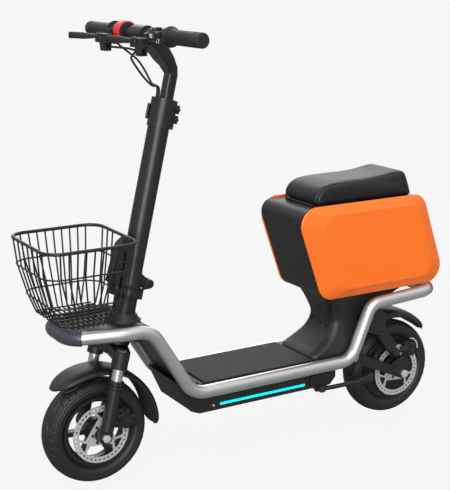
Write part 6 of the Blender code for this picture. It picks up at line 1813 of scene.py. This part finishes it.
def sun(name, direction, strength, angle):
    data = bpy.data.lights.new(name, 'SUN')
    data.energy = strength
    data.angle = radians(angle)
    lamp = bpy.data.objects.new(name, data)
    bpy.context.scene.collection.objects.link(lamp)
    lamp.rotation_euler = Vector(direction).to_track_quat('-Z', 'Y').to_euler()


def build_lights():
    sun('key', (-0.62, 0.3, -0.7), 0.9, 50)
    sun('side', (-0.86, 0.48, -0.1), 1.95, 34)
    sun('back', (0.78, -0.46, -0.42), 0.72, 44)


def build_floor():
    steps = [FLOOR_REACH * (2 * i / FLOOR_CELLS - 1) for i in range(FLOOR_CELLS + 1)]
    row = FLOOR_CELLS + 1
    corners = [i * row + j for i in range(FLOOR_CELLS) for j in range(FLOOR_CELLS)]
    mesh = bpy.data.meshes.new('floor')
    mesh.from_pydata([(x, y, FLOOR_Z) for x in steps for y in steps], [],
                     [(a, a + row, a + row + 1, a + 1) for a in corners])
    floor = bpy.data.objects.new('floor', mesh)
    bpy.context.scene.collection.objects.link(floor)
    skin = bpy.data.materials.new('floor')
    skin.use_nodes = True
    tree = skin.node_tree
    tree.nodes.clear()
    white = add_node(tree, 'ShaderNodeEmission', Color=(FLOOR_GLOW, FLOOR_GLOW, FLOOR_GLOW, 1))
    matt = add_node(tree, 'ShaderNodeBsdfDiffuse', Color=(FLOOR_TONE, FLOOR_TONE, FLOOR_TONE, 1))
    share = add_node(tree, 'ShaderNodeMath')
    share.operation = 'MULTIPLY'
    share.inputs[1].default_value = 0.90
    tree.links.new(add_node(tree, 'ShaderNodeLightPath').outputs['Is Camera Ray'], share.inputs[0])
    mix_to(tree, 'ShaderNodeOutputMaterial', share.outputs['Value'], matt.outputs['BSDF'], white.outputs['Emission'])
    mesh.materials.append(skin)


bpy.context.scene.view_settings.view_transform = 'Standard'


def main():
    for build in (build_frame_loop, build_nose_cap, build_tail_light, build_head_tube, build_front_cover, build_deck,
                  build_battery_case, build_light_strips, build_seat_tower, build_storage_box, build_side_panels,
                  build_rear_bracket, build_swing_pivot, build_rear_guard, build_seat_lid, build_cushion,
                  build_swingarm, build_rear_axle):
        build()
    build_caliper('rear', REAR_AXLE, REAR_CALIPER_TURN, REAR_DISC_X)
    detail('rear_cable', [rear_cable()], 'pale', 'rear_caliper')
    for build in (build_fasteners, build_shocks, build_rear_hub):
        build()
    build_tyre('rear_tyre', REAR_AXLE)
    build_disc('rear_disc', REAR_AXLE, REAR_DISC_X)
    for build in (build_fork_crown, build_stanchions, build_column, build_sliders, build_front_axle,
                  build_front_guard):
        build()
    slot = placed(plate(caliper_tab(GAP), TAB_IN - GAP, TAB_OUT + GAP), STEER_SIDE)
    build_caliper('front', FRONT_AXLE, FRONT_CALIPER_TURN, FRONT_DISC_X, cuts=[slot])
    build_front_rim()
    build_tyre('front_tyre', FRONT_AXLE)
    build_disc('front_disc', FRONT_AXLE, FRONT_DISC_X)
    for build in (build_stem, build_collar, build_handlebar, build_grips, build_levers, build_controls,
                  build_throttle, build_switches, build_cables, build_basket_bracket, build_basket, build_kickstand,
                  build_camera, build_world, build_lights, build_floor):
        build()


main()
